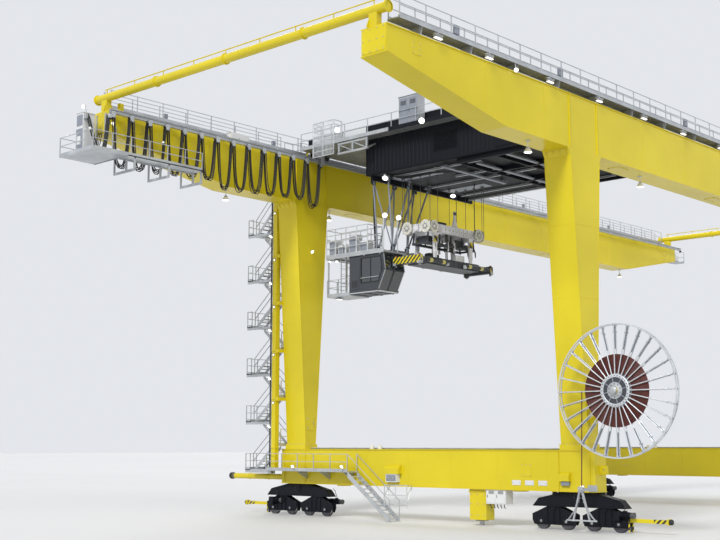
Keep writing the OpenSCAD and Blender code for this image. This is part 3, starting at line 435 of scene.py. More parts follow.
def paint(name):
    """The material of that finish, made on its first use."""
    made = bpy.data.materials.get("crane_" + name)
    if made:
        return made
    n = Nodes("crane_" + name)
    c = bpy.context.scene.crane_finishes
    yellow, navy, grey = tuple(c.yellow), tuple(c.navy), tuple(c.grey)
    metal, lilac, cream, red = tuple(c.zinc), tuple(c.lilac), tuple(c.cream), tuple(c.cable_red)
    recipe = {
        YELLOW: (painted, yellow, 0.34, 0.22),
        NAVY: (painted, navy, 0.52, 0.3, 0.25, (0.03, 0.03, 0.028), 0.0, 0.2),
        GREY: (painted, grey, 0.45, 0.25, 0.25, (0.1, 0.095, 0.085), 0.04, 0.3),
        MID: (painted, tint(grey, 4.6), 0.45, 0.3, 0.25, (0.1, 0.095, 0.085), 0.1),
        PALE: (painted, lilac, 0.4, 0.3),
        CREAM: (painted, cream, 0.42, 0.35),
        WHITE: (painted, (0.72, 0.73, 0.74), 0.38, 0.25),
        BLACK: (painted, (0.018, 0.019, 0.022), 0.4, 0.3, 0.25, (0.1, 0.09, 0.08)),
        "red_paint": (painted, (0.5, 0.03, 0.02), 0.35, 0.2),
        GALV: (zinc, metal),
        BRIGHT: (zinc, tint(metal, 1.25), 0.36, 0.5),
        GRATING: (grating, metal),
        DARK: (steel, (0.13, 0.13, 0.14), 0.45),
        STEEL: (steel, (0.45, 0.45, 0.46), 0.3),
        RUBBER: (rubber, (0.014, 0.014, 0.015)),
        "red_cable": (rubber, red, 0.5),
        "wire_rope": (rope, (0.13, 0.13, 0.125)),
        "cab_glass": (glass, (0.02, 0.026, 0.032)),
        LENS: (lens, (1.0, 0.97, 0.9), 2.5),
        SOFT: (lens, (1.0, 0.95, 0.85), 1.2),
        HAZARD: (stripes, yellow, (0.02, 0.02, 0.022), 0.16, 0.38, (0, 1, 1)),
        HAZARD_X: (stripes, yellow, (0.02, 0.02, 0.022), 0.3, 0.38, (1, 0, 1)),
        "arm_bands": (stripes, (0.66, 0.6, 0.2), (0.5, 0.45, 0.12), 0.06, 0.4, (1, 0, 0.6)),
        "studio_floor": (floor_paint,),
    }
    make, *values = recipe[name]
    make(n, *values)
    return n.material


# Finishes of the packed nodes

NODE_FINISH = {
    YELLOW: "girder_left girder_right legs_near legs_far sill_near sill_far end_ties stair_mast "
                    "reel_bracket buffers",
    GALV: "walkway_rails festoon_track end_galleries gallery_rails stair_landings stair_rails "
                  "sill_platform_rails cable_guide trolley_handrails cab_galleries reel",
    GRATING: "walkways stair_treads sill_platform trolley_deck",
    NAVY: "trolley_frame machinery_house bogies",
    MID: "hanger_lattice",
    GREY: "arms_near arms_far cab spreader_frame spreader_end_near spreader_end_far",
    DARK: "trolley_tracks " + " ".join(f"wheel_{n}" for n in range(1, 17)),
    WHITE: "floodlights cabinets", PALE: "head_block",
    "red_cable": "reel_cable reel_winding", RUBBER: "festoon_loops", "wire_rope": "hoist_ropes",
    "cab_glass": "cab_windows",
}


def coat_nodes():
    for finish, names in NODE_FINISH.items():
        for name in names.split():
            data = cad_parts[name].data
            for i in range(max(1, len(data.materials))):
                if i < len(data.materials):
                    data.materials[i] = paint(finish)
                else:
                    data.materials.append(paint(finish))


# Girders, legs and sills

def underside(x):
    return BOTTOM + max(0.0, abs(x) - TAPER_X) / (TIP - TAPER_X) * TAPER_RISE


def girder_fittings():
    p = Shape("girder_fittings")
    w = bpy.context.scene.crane_sizes.weld_w
    for s in SIDES:
        y = s * GAP
        for i in range(-6, 7):
            x = i * 2.68
            for f in SIDES:
                p.slab(about(x, w / 2), (y + f * 0.392, y + f * 0.399),
                    (underside(x) + 0.024, TOP - 0.024), YELLOW)
        for f in SIDES:
            # Longitudinal weld under the top flange and over the bottom one
            p.bar((-TIP, y + f * 0.396, TOP - 0.03), (TIP, y + f * 0.396, TOP - 0.03), 0.016, 0.016,
                YELLOW)
            p.bar((-TAPER_X, y + f * 0.396, BOTTOM + 0.03), (TAPER_X, y + f * 0.396, BOTTOM + 0.03),
                0.016, 0.016, YELLOW)
            # Stiffener plates beside each leg and bolted inspection covers
            for sx in SIDES:
                for dx in (-0.72, 0.72):
                    p.slab(about(sx * SPAN + dx, 0.008), (y + f * 0.392, y + f * 0.424),
                        (BOTTOM + 0.02, TOP - 0.02), YELLOW)
                x = sx * (TIP - 1.1)
                p.slab(about(x, 0.16), (y + f * 0.393, y + f * 0.403), (11.66, 11.98), YELLOW,
                    0.004)
                p.bolts([(x + a, y + f * 0.403, 11.82 + b) for a in (-0.13, 0.13)
                    for b in (-0.13, 0, 0.13)], (0, f, 0), GALV, 0.012)
        # Manhole covers in the underside and end plates at the tips
        for x in (-6.2, 0, 6.2):
            p.slab(about(x, 0.3), about(y, 0.2), (BOTTOM - 0.012, BOTTOM + 0.002), YELLOW, 0.004)
            p.bolts([(x + a, y + b, BOTTOM - 0.012) for a in (-0.26, 0, 0.26)
                for b in (-0.16, 0.16)], (0, 0, -1), GALV, 0.014)
        for sx in SIDES:
            p.slab((sx * (TIP - 0.002), sx * (TIP + 0.014)), about(y, 0.37), (11.54, TOP - 0.03),
                YELLOW, 0.005)
            p.bolts([(sx * (TIP + 0.014), y + a, z) for a in (-0.33, -0.11, 0.11, 0.33)
                for z in (11.58, 11.86, TOP - 0.07)], (sx, 0, 0), GALV, 0.014)
            # Rail stops and rail clamps
            for t in SIDES:
                y0 = t * RAIL_Y
                p.slab(about(sx * 16.8, 0.08), about(y0, 0.06), (TOP, TOP + 0.28), YELLOW, 0.01)
    for s in SIDES:
        for i, f in product(range(-41, 42), SIDES):
            x, y = i * 0.4, s * RAIL_Y + f * 0.045
            p.slab(about(x, 0.03), about(y, 0.02), (TOP, TOP + 0.02), DARK)
        p.slab((-16.95, 16.95), about(s * RAIL_Y, 0.02), (TOP + 0.064, TOP + 0.0665), STEEL)
    p.done()


def leg_fittings():
    p = Shape("leg_fittings")
    w = bpy.context.scene.crane_sizes.weld_w

    def half(z):
        return FOOT_HALF + (z - FOOT_Z) / (HEAD_Z - FOOT_Z) * (HEAD_HALF - FOOT_HALF)

    for sx, sy in CORNERS:
        x, y = sx * SPAN, sy * GAP
        for z in (4.35, 6.4, 8.45):
            p.slab((x - half(z) - 0.004, x + half(z) + 0.004), about(y, 0.444), about(z, w / 2),
                YELLOW)
        for f in SIDES:
            # Edge strips of the web plates
            for e in SIDES:
                p.bar((x + f * 0.2275, y + e * 0.442, 2.36), (x + f * 0.742, y + e * 0.442, 10.38),
                    0.012, 0.026, YELLOW)
            # Bolts through the foot plate and gussets on it
            p.bolts([(x + f * (FOOT_HALF + 0.025), y + b * 0.125, FOOT_Z) for b in range(-3, 4)],
                (0, 0, 1), GALV, 0.017)
            p.bolts([(x + b * 0.11, y + f * 0.455, FOOT_Z) for b in (-2, -1, 0, 1, 2)], (0, 0, 1),
                GALV, 0.012)
            # Gussets and bolts at the head
            for b in (-0.33, -0.11, 0.11, 0.33):
                p.plate([(x + f * 0.80, y + b - 0.006, 10.56), (x + f * 0.865, y + b - 0.006,
                    10.56), (x + f * 0.765, y + b - 0.006, 10.42)], (0, 0.012, 0), YELLOW)
            p.bolts([(x + f * 0.852, y + b * 0.06, 10.56) for b in range(-6, 7) if b % 2],
                (0, 0, -1), GALV, 0.014)
        # Inspection hatch with hinges and a grip
        z = 3.05
        p.slab(about(x, 0.15), (y - 0.452, y - 0.438), about(z, 0.24), YELLOW, 0.008)
        for b in (-0.16, 0.16):
            p.rod((x - 0.155, y - 0.452, z + b - 0.03), (x - 0.155, y - 0.452, z + b + 0.03), 0.011,
                GALV)
        p.rod((x + 0.1, y - 0.47, z - 0.04), (x + 0.1, y - 0.47, z + 0.04), 0.008, GALV)
        for b in (-0.04, 0.04):
            p.rod((x + 0.1, y - 0.45, z + b), (x + 0.1, y - 0.47, z + b), 0.007, GALV)
    # Small boxes and their conduit on the side of leg A that faces the stairs
    for z in (3.35, 4.95, 6.6, 8.25, 9.9):
        x = -SPAN - half(z) + 0.12
        p.slab(about(x, 0.06), (GAP + 0.442, GAP + 0.5), about(z, 0.1), MID, 0.008)
        p.rod((x, GAP + 0.46, z - 0.1), (x + 0.02, GAP + 0.46, z - 0.6), 0.011, GALV, 8)
    p.done()


def sill_fittings():
    p = Shape("sill_fittings")
    w = bpy.context.scene.crane_sizes.weld_w
    for sx in SIDES:
        x = sx * SPAN
        for f in SIDES:
            for y in (-4.6, -2.9, -1.2, 0.5, 2.2, 3.9):
                p.slab((x + f * 0.280, x + f * 0.287), about(y, w / 2), (1.075, 2.175), YELLOW)
            for y in (-5.0, 5.0, -6.0, 6.0):
                p.slab((x + f * 0.28, x + f * 0.31), about(y, 0.007), (1.075, 2.175), YELLOW)
            # Welded eyes for lifting and covers with bolts
            for y in (-3.9, 3.2):
                p.slab((x + f * 0.281, x + f * 0.292), about(y, 0.17), (1.45, 1.8), YELLOW, 0.005)
                p.bolts([(x + f * 0.292, y + a, 1.625 + b) for a in (-0.14, 0, 0.14)
                    for b in (-0.145, 0.145)], (f, 0, 0), GALV, 0.012)
        # Cable tray along the top, with its cables
        p.box((x - 0.1, -4.95, 2.2), (x + 0.06, 4.95, 2.215), GALV)
        for e in (-0.1, 0.055):
            p.box((x + e, -4.95, 2.2), (x + e + 0.006, 4.95, 2.245), GALV)
        for k in range(4):
            p.rod((x - 0.075 + k * 0.032, -4.94, 2.228), (x - 0.075 + k * 0.032, 4.94, 2.228),
                0.012, RUBBER, 6)
        for y in range(-4, 5):
            p.slab((x - 0.104, x + 0.064), about(y, 0.02), (2.235, 2.248), GALV)
        # Storm anchor at the middle of the sill
        p.slab(about(x, 0.215), (-2.43, -1.77), (0.95, 1.0), YELLOW, 0.006)
        p.bolts([(x - 0.2, -2.1 + a, z) for a in (-0.24, 0, 0.24) for z in (0.3, 0.62, 0.9)],
            (-1, 0, 0), GALV, 0.016)
        p.rod((x, -2.1, 0.16), (x, -2.1, 0.02), 0.07, STEEL, 16)
        p.slab(about(x, 0.13), (-2.25, -1.95), (0.13, 0.165), DARK, 0.006)
        # Domed beacons on the top plate
        for y in (2.09, 1.75):
            p.lathe((x - 0.2, y, 2.2), (0, 0, 1), [(0.075, 0), (0.075, 0.03), (0.068, 0.09),
                (0.04, 0.13), (0, 0.145)], CREAM, 20)
    # Sockets below the hood, and its seams
    x = -SPAN - 0.4425
    p.box((x - 0.012, 0.88, 1.22), (x + 0.004, 1.27, 1.41), MID, 0.01)
    for y in (0.97, 1.18):
        p.rod((x - 0.01, y, 1.33), (x - 0.035, y, 1.31), 0.03, GALV, 14)
    for y in (0.769, 1.361):
        p.plate([(-9.03, y, 1.445), (-9.18, y, 1.445), (-9.18, y, 1.6), (-9.1, y, 1.69),
            (-9.03, y, 1.715)], (0, 0.004 if y > 1 else -0.004, 0), YELLOW)
    # Hood beside the reel, and blank plates on the sill's lower edge
    p.plate([(-9.03, -5.38, 1.34), (-9.16, -5.38, 1.34), (-9.16, -5.38, 1.5), (-9.1, -5.38, 1.57),
        (-9.03, -5.38, 1.59)], (0, 0.32, 0), YELLOW)
    p.box((-9.12, -5.36, 1.22), (-9.03, -5.1, 1.34), MID, 0.01)
    for y in (-3.55, -4.0, -4.45):
        p.slab((-9.046, -9.031), about(y, 0.15), (1.2, 1.34), WHITE, 0.004)
        p.bolts([(-9.046, y + a, 1.27) for a in (-0.13, 0.13)], (-1, 0, 0), DARK, 0.008)
    # Pipe guard in front of the transformer space below the hood
    for y in (0.36, 0.82, 1.27):
        p.rod((-9.28, y, 0.42), (-9.28, y, 1.1), 0.016, BRIGHT, 8)
    for z in (0.5, 0.8, 1.1):
        p.rod((-9.28, 0.36, z), (-9.28, 1.27, z), 0.014, BRIGHT, 8)
        for y in (0.36, 1.27):
            p.rod((-9.28, y, z), (-9.02, y, z if z > 1.08 else 1.08), 0.012, BRIGHT, 8)
    p.done()


def lamp(p, x, y, z, aim, r=0.05, finish=LENS):
    """A small round lamp: a turned housing with a lit lens that looks along aim."""
    a = Vector(aim).normalized()
    c = Vector((x, y, z))
    p.lathe(c, a, [(0, -r * 0.9), (r * 0.6, -r * 0.8), (r * 0.95, -r * 0.2), (r * 1.06, 0),
        (r * 0.96, 0.002)], WHITE, 16)
    p.lathe(c, a, [(r * 0.96, -0.002), (r * 0.9, r * 0.1), (r * 0.5, r * 0.22), (0, r * 0.26)],
        finish, 16)


def lamps():
    p = Shape("walkway_lamps")
    # Along the foot of the rails: a stepped housing over a lit lens, on a bracket from the kerb
    for s, xs in ((-1, (-15.42, -13.32, -10.52, -7.98, -5.4, -2.9, -0.3, 2.3, 4.9, 7.5, 10.1, 12.7,
            15.3)), (1, (-12.6, -10.4, -7.2, -4.6, -2.0, 0.6, 3.2, 5.8, 8.4, 11.0, 13.6))):
        for x in xs:
            y = s * 5.99
            p.slab(about(x, 0.014), (y - s * 0.03, y + s * 0.01), (WALK_Z - 0.16, WALK_Z - 0.02),
                GALV)
            for k in range(3):
                p.slab((x - 0.17 + k * 0.03, x + 0.17 - k * 0.03), about(y, 0.045),
                    (WALK_Z - 0.125 - k * 0.035, WALK_Z - 0.11 - k * 0.035), BRIGHT, 0.004)
            p.slab(about(x, 0.14), about(y, 0.04), (WALK_Z - 0.22, WALK_Z - 0.2), SOFT, 0.006)
            p.rod((x, y, WALK_Z - 0.22), (x, y, WALK_Z - 0.1), 0.02, MID, 8)
    p.rod((-12.13, -5.97, WALK_Z - 0.2), (-12.13, -5.97, WALK_Z - 0.05), 0.012, GALV, 8)
    lamp(p, -12.13, -5.99, WALK_Z - 0.24, (-0.6, -0.6, -0.6), 0.06)
    # Small lamps on the inner edge of girder A near the tip
    for x in (-16.82, -15.4):
        lamp(p, x, 5.06, TOP - 0.03, (-0.3, -0.5, -1), 0.035, SOFT)
    # Floodlights on their rods
    for x, y in ((-12.3, 1), (-7.45, 1), (12.45, 1), (-10.95, -1), (-4.9, -1)):
        y *= GAP
        p.lathe((x, y, 10.255), (0, 0, 1), [(0, 0.004), (0.098, 0.004), (0.108, 0.0)], LENS, 28)
        p.lathe((x, y, 10.26), (0, 0, 1), [(0.113, -0.004), (0.116, 0.01), (0.107, 0.02),
            (0.085, 0.07), (0.064, 0.1), (0.03, 0.115)], WHITE, 28)
        for k in range(8):
            a = k * pi / 4
            p.slab(about(x + 0.05 * cos(a), 0.004), about(y + 0.05 * sin(a), 0.004), (10.34, 10.4),
                GALV)
        p.rod((x, y, 10.36), (x, y, 10.42), 0.035, GALV, 12)
        p.slab(about(x, 0.06), about(y, 0.06), (BOTTOM - 0.012, BOTTOM), GALV)
    # Lamps of the sill's platform, leg A's inner face, the tip's cabinet and the near end
    for x, y, z, aim in ((-9.6, 5.05, 1.62, (-1, 0, -0.7)), (-9.6, 2.81, 1.64, (-1, 0, -0.7)),
            (-8.8, 4.98, 8.9, (0, -1, -0.8)), (-17.66, 5.82, 12.34, (-0.7, -0.5, -0.6)),
            (-17.2, 4.95, 11.75, (-1, 0, -0.6)), (-9.52, -6.05, 1.2, (-1, 0, -0.5))):
        p.rod((x + 0.09, y, z + 0.05), (x + 0.005, y, z + 0.01), 0.015, GALV, 8)
        lamp(p, x, y, z, aim, 0.06)
    for y in (5.05, 2.81):
        p.slab((-9.59, -9.565), about(y, 0.02), (1.5, 1.68), GALV)
    p.done()


def walkway_details():
    p = Shape("walkway_details")
    for s in SIDES:
        y0, y1 = s * (WALK_Y - 0.2), s * (WALK_Y + 0.2)
        # Cable tray beside the walkway with its lids and cables
        y = s * 5.46
        p.slab((-16.6, 16.6), about(y, 0.06), (TOP + 0.1, TOP + 0.112), GALV)
        for e in (-0.06, 0.054):
            p.box((-16.6, y + e, TOP + 0.1), (16.6, y + e + 0.006, TOP + 0.16), GALV)
        for k in range(3):
            p.rod((-16.55, y - 0.03 + k * 0.03, TOP + 0.125), (16.55, y - 0.03 + k * 0.03,
                TOP + 0.125), 0.012, RUBBER, 6)
        for i in range(-13, 14):
            p.slab(about(i * 1.25, 0.015), (y - 0.07, y - 0.055), (TOP, TOP + 0.17), GALV)
            p.slab(about(i * 1.25, 0.015), (y + 0.055, y + 0.07), (TOP, TOP + 0.17), GALV)
        # Edge angles of the gratings and brackets down to the girder's web
        for yy in (y0, y1):
            p.slab((-16.85, 16.85), about(yy, 0.004), (WALK_Z - 0.05, WALK_Z + 0.004), GALV)
        for i in range(-8, 9):
            x = i * 2.0
            p.plate([(x - 0.006, s * 5.925, TOP - 0.02), (x - 0.006, s * 5.97, WALK_Z - 0.03),
                (x - 0.006, s * 5.9, WALK_Z - 0.03), (x - 0.006, s * 5.86, TOP)], (0.012, 0, 0),
                GALV)
        # Foot clamps of the posts
        n = 34
        for i in range(n + 1):
            x = -16.838 + i * (33.7 - 0.024) / n
            p.slab(about(x, 0.03), (y1 - s * 0.045, y1 - s * 0.005), (WALK_Z, WALK_Z + 0.03), GALV)
    # Junction boxes and pull stations on the outer rails
    for x in (-14.6, -9.9, -2.6, 5.1, 12.2):
        p.slab(about(x, 0.1), (-5.955, -5.88), (WALK_Z + 0.12, WALK_Z + 0.36), MID, 0.01)
        p.box((x + 0.02, 5.88, WALK_Z + 0.12), (x + 0.16, 5.955, WALK_Z + 0.34), MID, 0.01)
    # Cabinets on the girders: doors, hinges, roof
    for s in SIDES:
        y = s * 5.38
        p.box((-12.32, y - s * 0.112, TOP + 0.3), (-11.48, y + s * 0.13, TOP + 0.315), WHITE, 0.004)
        for x in (-12.28, -11.885):
            p.box((x, y - s * 0.113, TOP + 0.02), (x + 0.37, y - s * 0.105, TOP + 0.285), WHITE,
                0.003)
            p.rod((x + 0.33, y - s * 0.11, TOP + 0.11), (x + 0.33, y - s * 0.11, TOP + 0.18), 0.006,
                DARK, 8)
    p.done()


def tie_fittings():
    p = Shape("tie_fittings")
    for sx in SIDES:
        x = sx * TIE_X
        for y in (-5.85, -3.0, 0.0, 3.0, 5.85):
            p.lathe((x, y, TIE_Z), (0, 1, 0), collar(0.126, 0.02, 0.16, 0.015), YELLOW, 32)
            p.bolts([(x + u, y + 0.015, TIE_Z + v) for u, v in ring(12, 0.143)], (0, 1, 0), GALV,
                0.011)
        for s, f in CORNERS:
            p.plate([(x + f * 0.09, s * 5.32 - 0.008, TOP), (x + f * 0.2, s * 5.32 - 0.008, TOP),
                (x + f * 0.09, s * 5.32 - 0.008, TOP + 0.25)], (0, 0.016, 0), YELLOW)
    p.done()


# Festoon

LOOP_N, LOOP_X0, ARM_X = 13, -17.35, -8.65
LOOP_PITCH = (ARM_X - LOOP_X0) / LOOP_N


def festoon():
    """Each loop is a bundle of separate cables that hangs between two carriers."""
    r = bpy.context.scene.crane_sizes.festoon_r
    carriers = Shape("festoon_carriers")
    for i in range(LOOP_N + 1):
        x, y = LOOP_X0 + i * LOOP_PITCH, FESTOON_Y
        carriers.slab(about(x, 0.085), about(y, 0.066), (11.965, 11.998), GALV, 0.004)
        carriers.lathe((x, y - 0.068, 11.9), (0, 1, 0), [(0.0, 0), (0.075, 0), (0.075, 0.136),
            (0, 0.136)], RUBBER, 16)
        for f in SIDES:
            carriers.slab(about(x, 0.07), about(y + f * 0.066, 0.003), (11.87, 12.06), GALV)
            for dx in (-0.045, 0.045):
                carriers.rod((x + dx, y + f * 0.062, 12.034), (x + dx, y + f * 0.022, 12.034),
                    0.018, DARK, 14)
        carriers.slab((x - 0.1, x - 0.085), about(y, 0.02), (11.94, 11.99), RUBBER, 0.004)
        carriers.slab((x + 0.085, x + 0.1), about(y, 0.02), (11.94, 11.99), RUBBER, 0.004)
    obj = carriers.done(ride=False)
    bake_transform(obj)
    cables = []
    for i, k in product(range(LOOP_N), range(5)):
        x, y = LOOP_X0 + (i + 0.5) * LOOP_PITCH, FESTOON_Y - 0.062 + 0.031 * k
        half = LOOP_PITCH * (0.43 - 0.014 * ((i * 3 + k * 5) % 4))
        low = 10.37 + 0.04 * ((i * 7) % 6) + 0.03 * ((i + k * 2) % 5)
        swell = 0.02 * sin(i * 1.7 + k)
        pts = []
        for j in range(29):
            a = -1 + 2 * j / 28
            # A narrow catenary: straight runs down and a round bottom
            u = a * (1 + 0.10 * (1 - a * a))
            z = low + (11.9 - low) * abs(u) ** 2.6
            pts.append(Vector((x + half * (abs(a) ** 0.62) * (1 if a > 0
                else -1) + swell * (1 - a * a), y, z)))
        pts = smooth_path(pts, 30)
        p = Shape(f"festoon_cable_{i + 1}_{k + 1}")
        p.pipe(pts, r, RUBBER, 7)
        cables.append((p.done(ride=False), pts))
    for obj, pts in cables:
        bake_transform(obj)
        if obj.name.endswith(("_4", "_5")):
            continue
    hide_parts("festoon_loops")
    # The fixed end: a bundle from the track's end to a clamp on the tip's cabinet
    p = Shape("festoon_fixed_end")
    for k in range(5):
        d = 0.03 * k - 0.06
        pts = []
        for j in range(25):
            t = j / 24
            pts.append(Vector((-17.48 - 0.42 * t - d * 0.5, 4.79 + d * 0.6 + 0.42 * t ** 4,
                10.76 + 0.02 * ((k * 2) % 5) + 1.12 * abs(2 * t - 1) ** 2.6)))
        p.pipe(smooth_path(pts, 24), r, RUBBER, 7)
    p.box((-18.0, 5.2, 11.8), (-17.86, 5.29, 11.92), GALV, 0.006)
    p.box((-17.5, 4.7, 11.84), (-17.42, 4.85, 11.96), GALV, 0.006)
    p.done()


def smooth_path(points, n):
    """The same line with n evenly spaced points, its corners rounded."""
    for _ in range(3):
        points = [points[0]] + [(a + b * 2 + c) / 4 for a, b, c in zip(points, points[1:],
            points[2:])] + [points[-1]]
    lengths = [0.0]
    for a, b in zip(points, points[1:]):
        lengths.append(lengths[-1] + (b - a).length)
    out, j = [], 0
    for i in range(n):
        t = lengths[-1] * i / (n - 1)
        while j < len(points) - 2 and lengths[j + 1] < t:
            j += 1
        span = lengths[j + 1] - lengths[j]
        out.append(points[j].lerp(points[j + 1], (t - lengths[j]) / span if span else 0))
    return out


def gallery_details():
    p = Shape("gallery_details")
    # Track hangers with bolts, and end stops
    for x in (-17.42, 17.2):
        p.slab(about(x, 0.02), (4.72, 4.83), (11.93, 12.02), RUBBER, 0.008)
    for i in range(16):
        x = -17.19 + i * 2.1656
        p.slab(about(x, 0.05), (4.735, 4.815), (12.12, 12.13), GALV)
        p.bolts([(x + a, FESTOON_Y + b, 12.13) for a in (-0.035, 0.035) for b in (-0.025, 0.025)],
            (0, 0, 1), GALV, 0.009)
    # Gallery cabinet: body, roof, lamp post, doors, grip and cables
    p.box((-18.0, 5.3, 11.55), (-17.6, 5.65, 12.0), WHITE, 0.006)
    p.box((-18.02, 5.28, 12.0), (-17.58, 5.67, 12.025), WHITE, 0.005)
    p.rod((-17.66, 5.6, 12.02), (-17.64, 5.78, 12.36), 0.014, GALV, 8)
    p.box((-18.009, 5.33, 11.62), (-17.998, 5.62, 11.95), MID, 0.004)
    p.box((-18.012, 5.31, 10.7), (-17.998, 5.64, 11.53), MID, 0.005)
    p.box((-17.98, 5.288, 10.7), (-17.62, 5.302, 11.53), WHITE, 0.005)
    p.rod((-18.02, 5.36, 11.08), (-18.02, 5.36, 11.18), 0.008, DARK, 8)
    for y in (5.35, 5.44, 5.53):
        p.pipe([(-17.66, y, 10.66), (-17.6, y, 10.72), (-17.5, y, 10.9), (-17.35, y, 11.2),
            (-17.3, y, 11.55)], 0.014, RUBBER, 6)
    # Grating over the galleries' plates
    p.box((-18.49, 4.06, 10.651), (-17.29, 5.71, 10.656), GRATING)
    p.box((-17.28, 4.06, 10.651), (-14.51, 4.49, 10.656), GRATING)
    for x in (-18.49, -17.29):
        p.slab(about(x, 0.006), (4.06, 5.71), (10.6, 10.66), GALV)
    for y in (4.055, 4.495):
        p.slab((-17.28, -14.5), about(y, 0.005), (10.58, 10.66), GALV)
    # Small lamps and boxes on the rails
    for x, y in ((-18.44, 4.3), (-18.44, 5.4), (-16.0, 4.08)):
        lamp(p, x, y, 11.25, (0.3, 0.5, -1), 0.045)
    p.box((-18.48, 4.75, 10.85), (-18.42, 4.95, 11.1), WHITE, 0.01)
    # Pulley and box on the outrigger at the far tip
    p.box((17.27, 5.26, 11.592), (18.48, 5.74, 11.597), GRATING)
    p.box((17.6, 5.3, 11.6), (18.0, 5.5, 11.9), WHITE, 0.01)
    p.done()


# Stairs and platform

def landing(i):
    return 1.5 + 1.64 * i if i < 6 else (9.7 + 2 * WALK_Z) / 3


def turn(i):
    return (landing(i) + landing(i + 1)) / 2 if i < 6 else WALK_Z


def stair_details():
    p = Shape("stair_details")
    for i in range(7):
        z, t = landing(i), turn(i)
        y0 = 7.35 if i else 6.41
        p.box((-9.395, y0 + 0.004, z), (-8.405, 7.596, z + 0.004), GRATING)
        p.box((-9.25, 5.995, t), (-8.405, 6.396, t + 0.004), GRATING)
        # Kerbs, and bolted cleats at the mast
        for x in (-9.397, -8.403):
            p.slab(about(x, 0.003), (7.35, 7.6), (z - 0.03, z + 0.05), GALV)
        p.box((-9.4, 7.594, z - 0.03), (-8.4, 7.6, z + 0.06), GALV)
        p.box((-9.45, 6.26, z - 0.13), (-9.25, 6.272, z + 0.02), GALV)
        p.bolts([(-9.42 + a * 0.14, 6.272, z - 0.1 + b * 0.09) for a in (0, 1) for b in (0, 1)],
            (0, 1, 0), GALV, 0.012)
        # Lamp under each landing, beside the mast
        if i:
            p.rod((-9.42, 6.34, z - 0.05), (-9.46, 6.35, z - 0.17), 0.014, GALV, 8)
            lamp(p, -9.47, 6.35, z - 0.2, (-0.8, 0.2, -0.7), 0.065)
            lamp(p, -9.47, 6.16, z + 0.6, (-1, -0.2, -0.4), 0.035, SOFT)
            p.box((-9.47, 6.13, z + 0.57), (-9.44, 6.19, z + 0.66), MID, 0.005)
        # Tread noses and their side cleats
        for k in range(1, 8):
            u = k / 8
            lanes = [(-9.24, 7.35 - u * 0.95, z + u * (t - z))]
            if i < 6:
                lanes.append((-8.83, 6.4 + u * 0.95, t + u * (landing(i + 1) - t)))
            for lane, (x, y, h) in enumerate(lanes):
                f = 0.05 if lane == 0 else -0.05
                p.slab((x + 0.012, x + 0.388), about(y + f, 0.006), (h - 0.05, h - 0.028), BRIGHT)
    # Flanges of the mast, and its cable ladder
    for i in range(6):
        t = turn(i) - 0.085
        p.slab((-9.46, -9.24), (6.06, 6.28), about(t, 0.01), YELLOW)
    for y in (6.29, 6.36):
        p.slab((-9.445, -9.425), about(y, 0.004), (1.6, 12.3), GALV)
    for k in range(42):
        p.box((-9.442, 6.29, 1.7 + k * 0.25), (-9.43, 6.36, 1.715 + k * 0.25), GALV)
    for k in range(3):
        p.rod((-9.447, 6.305 + k * 0.02, 1.6), (-9.447, 6.305 + k * 0.02, 12.3), 0.008, RUBBER, 6)
    p.done()
    q = Shape("platform_details")
    q.box((-9.56, 2.605, 1.5), (-9.04, 6.395, 1.504), GRATING)
    for y in (2.6, 6.4):
        q.slab((-9.56, -9.03), about(y, 0.004), (1.46, 1.51), GALV)
    for k in range(1, 12):
        y, z = 2.6 - k * 0.15, 1.5 - k * 0.125
        q.box((-9.54, y - 0.066, z - 0.055), (-9.11, y - 0.054, z - 0.026), BRIGHT)
    for x in (-9.545, -9.105):
        q.slab(about(x, 0.05), (0.78, 0.95), (0.0, 0.012), GALV)
        q.bar((x, 0.86, 0.01), (x, 0.86, 0.1), 0.02, 0.06, GALV)
    q.done()


# Bogies and wheels

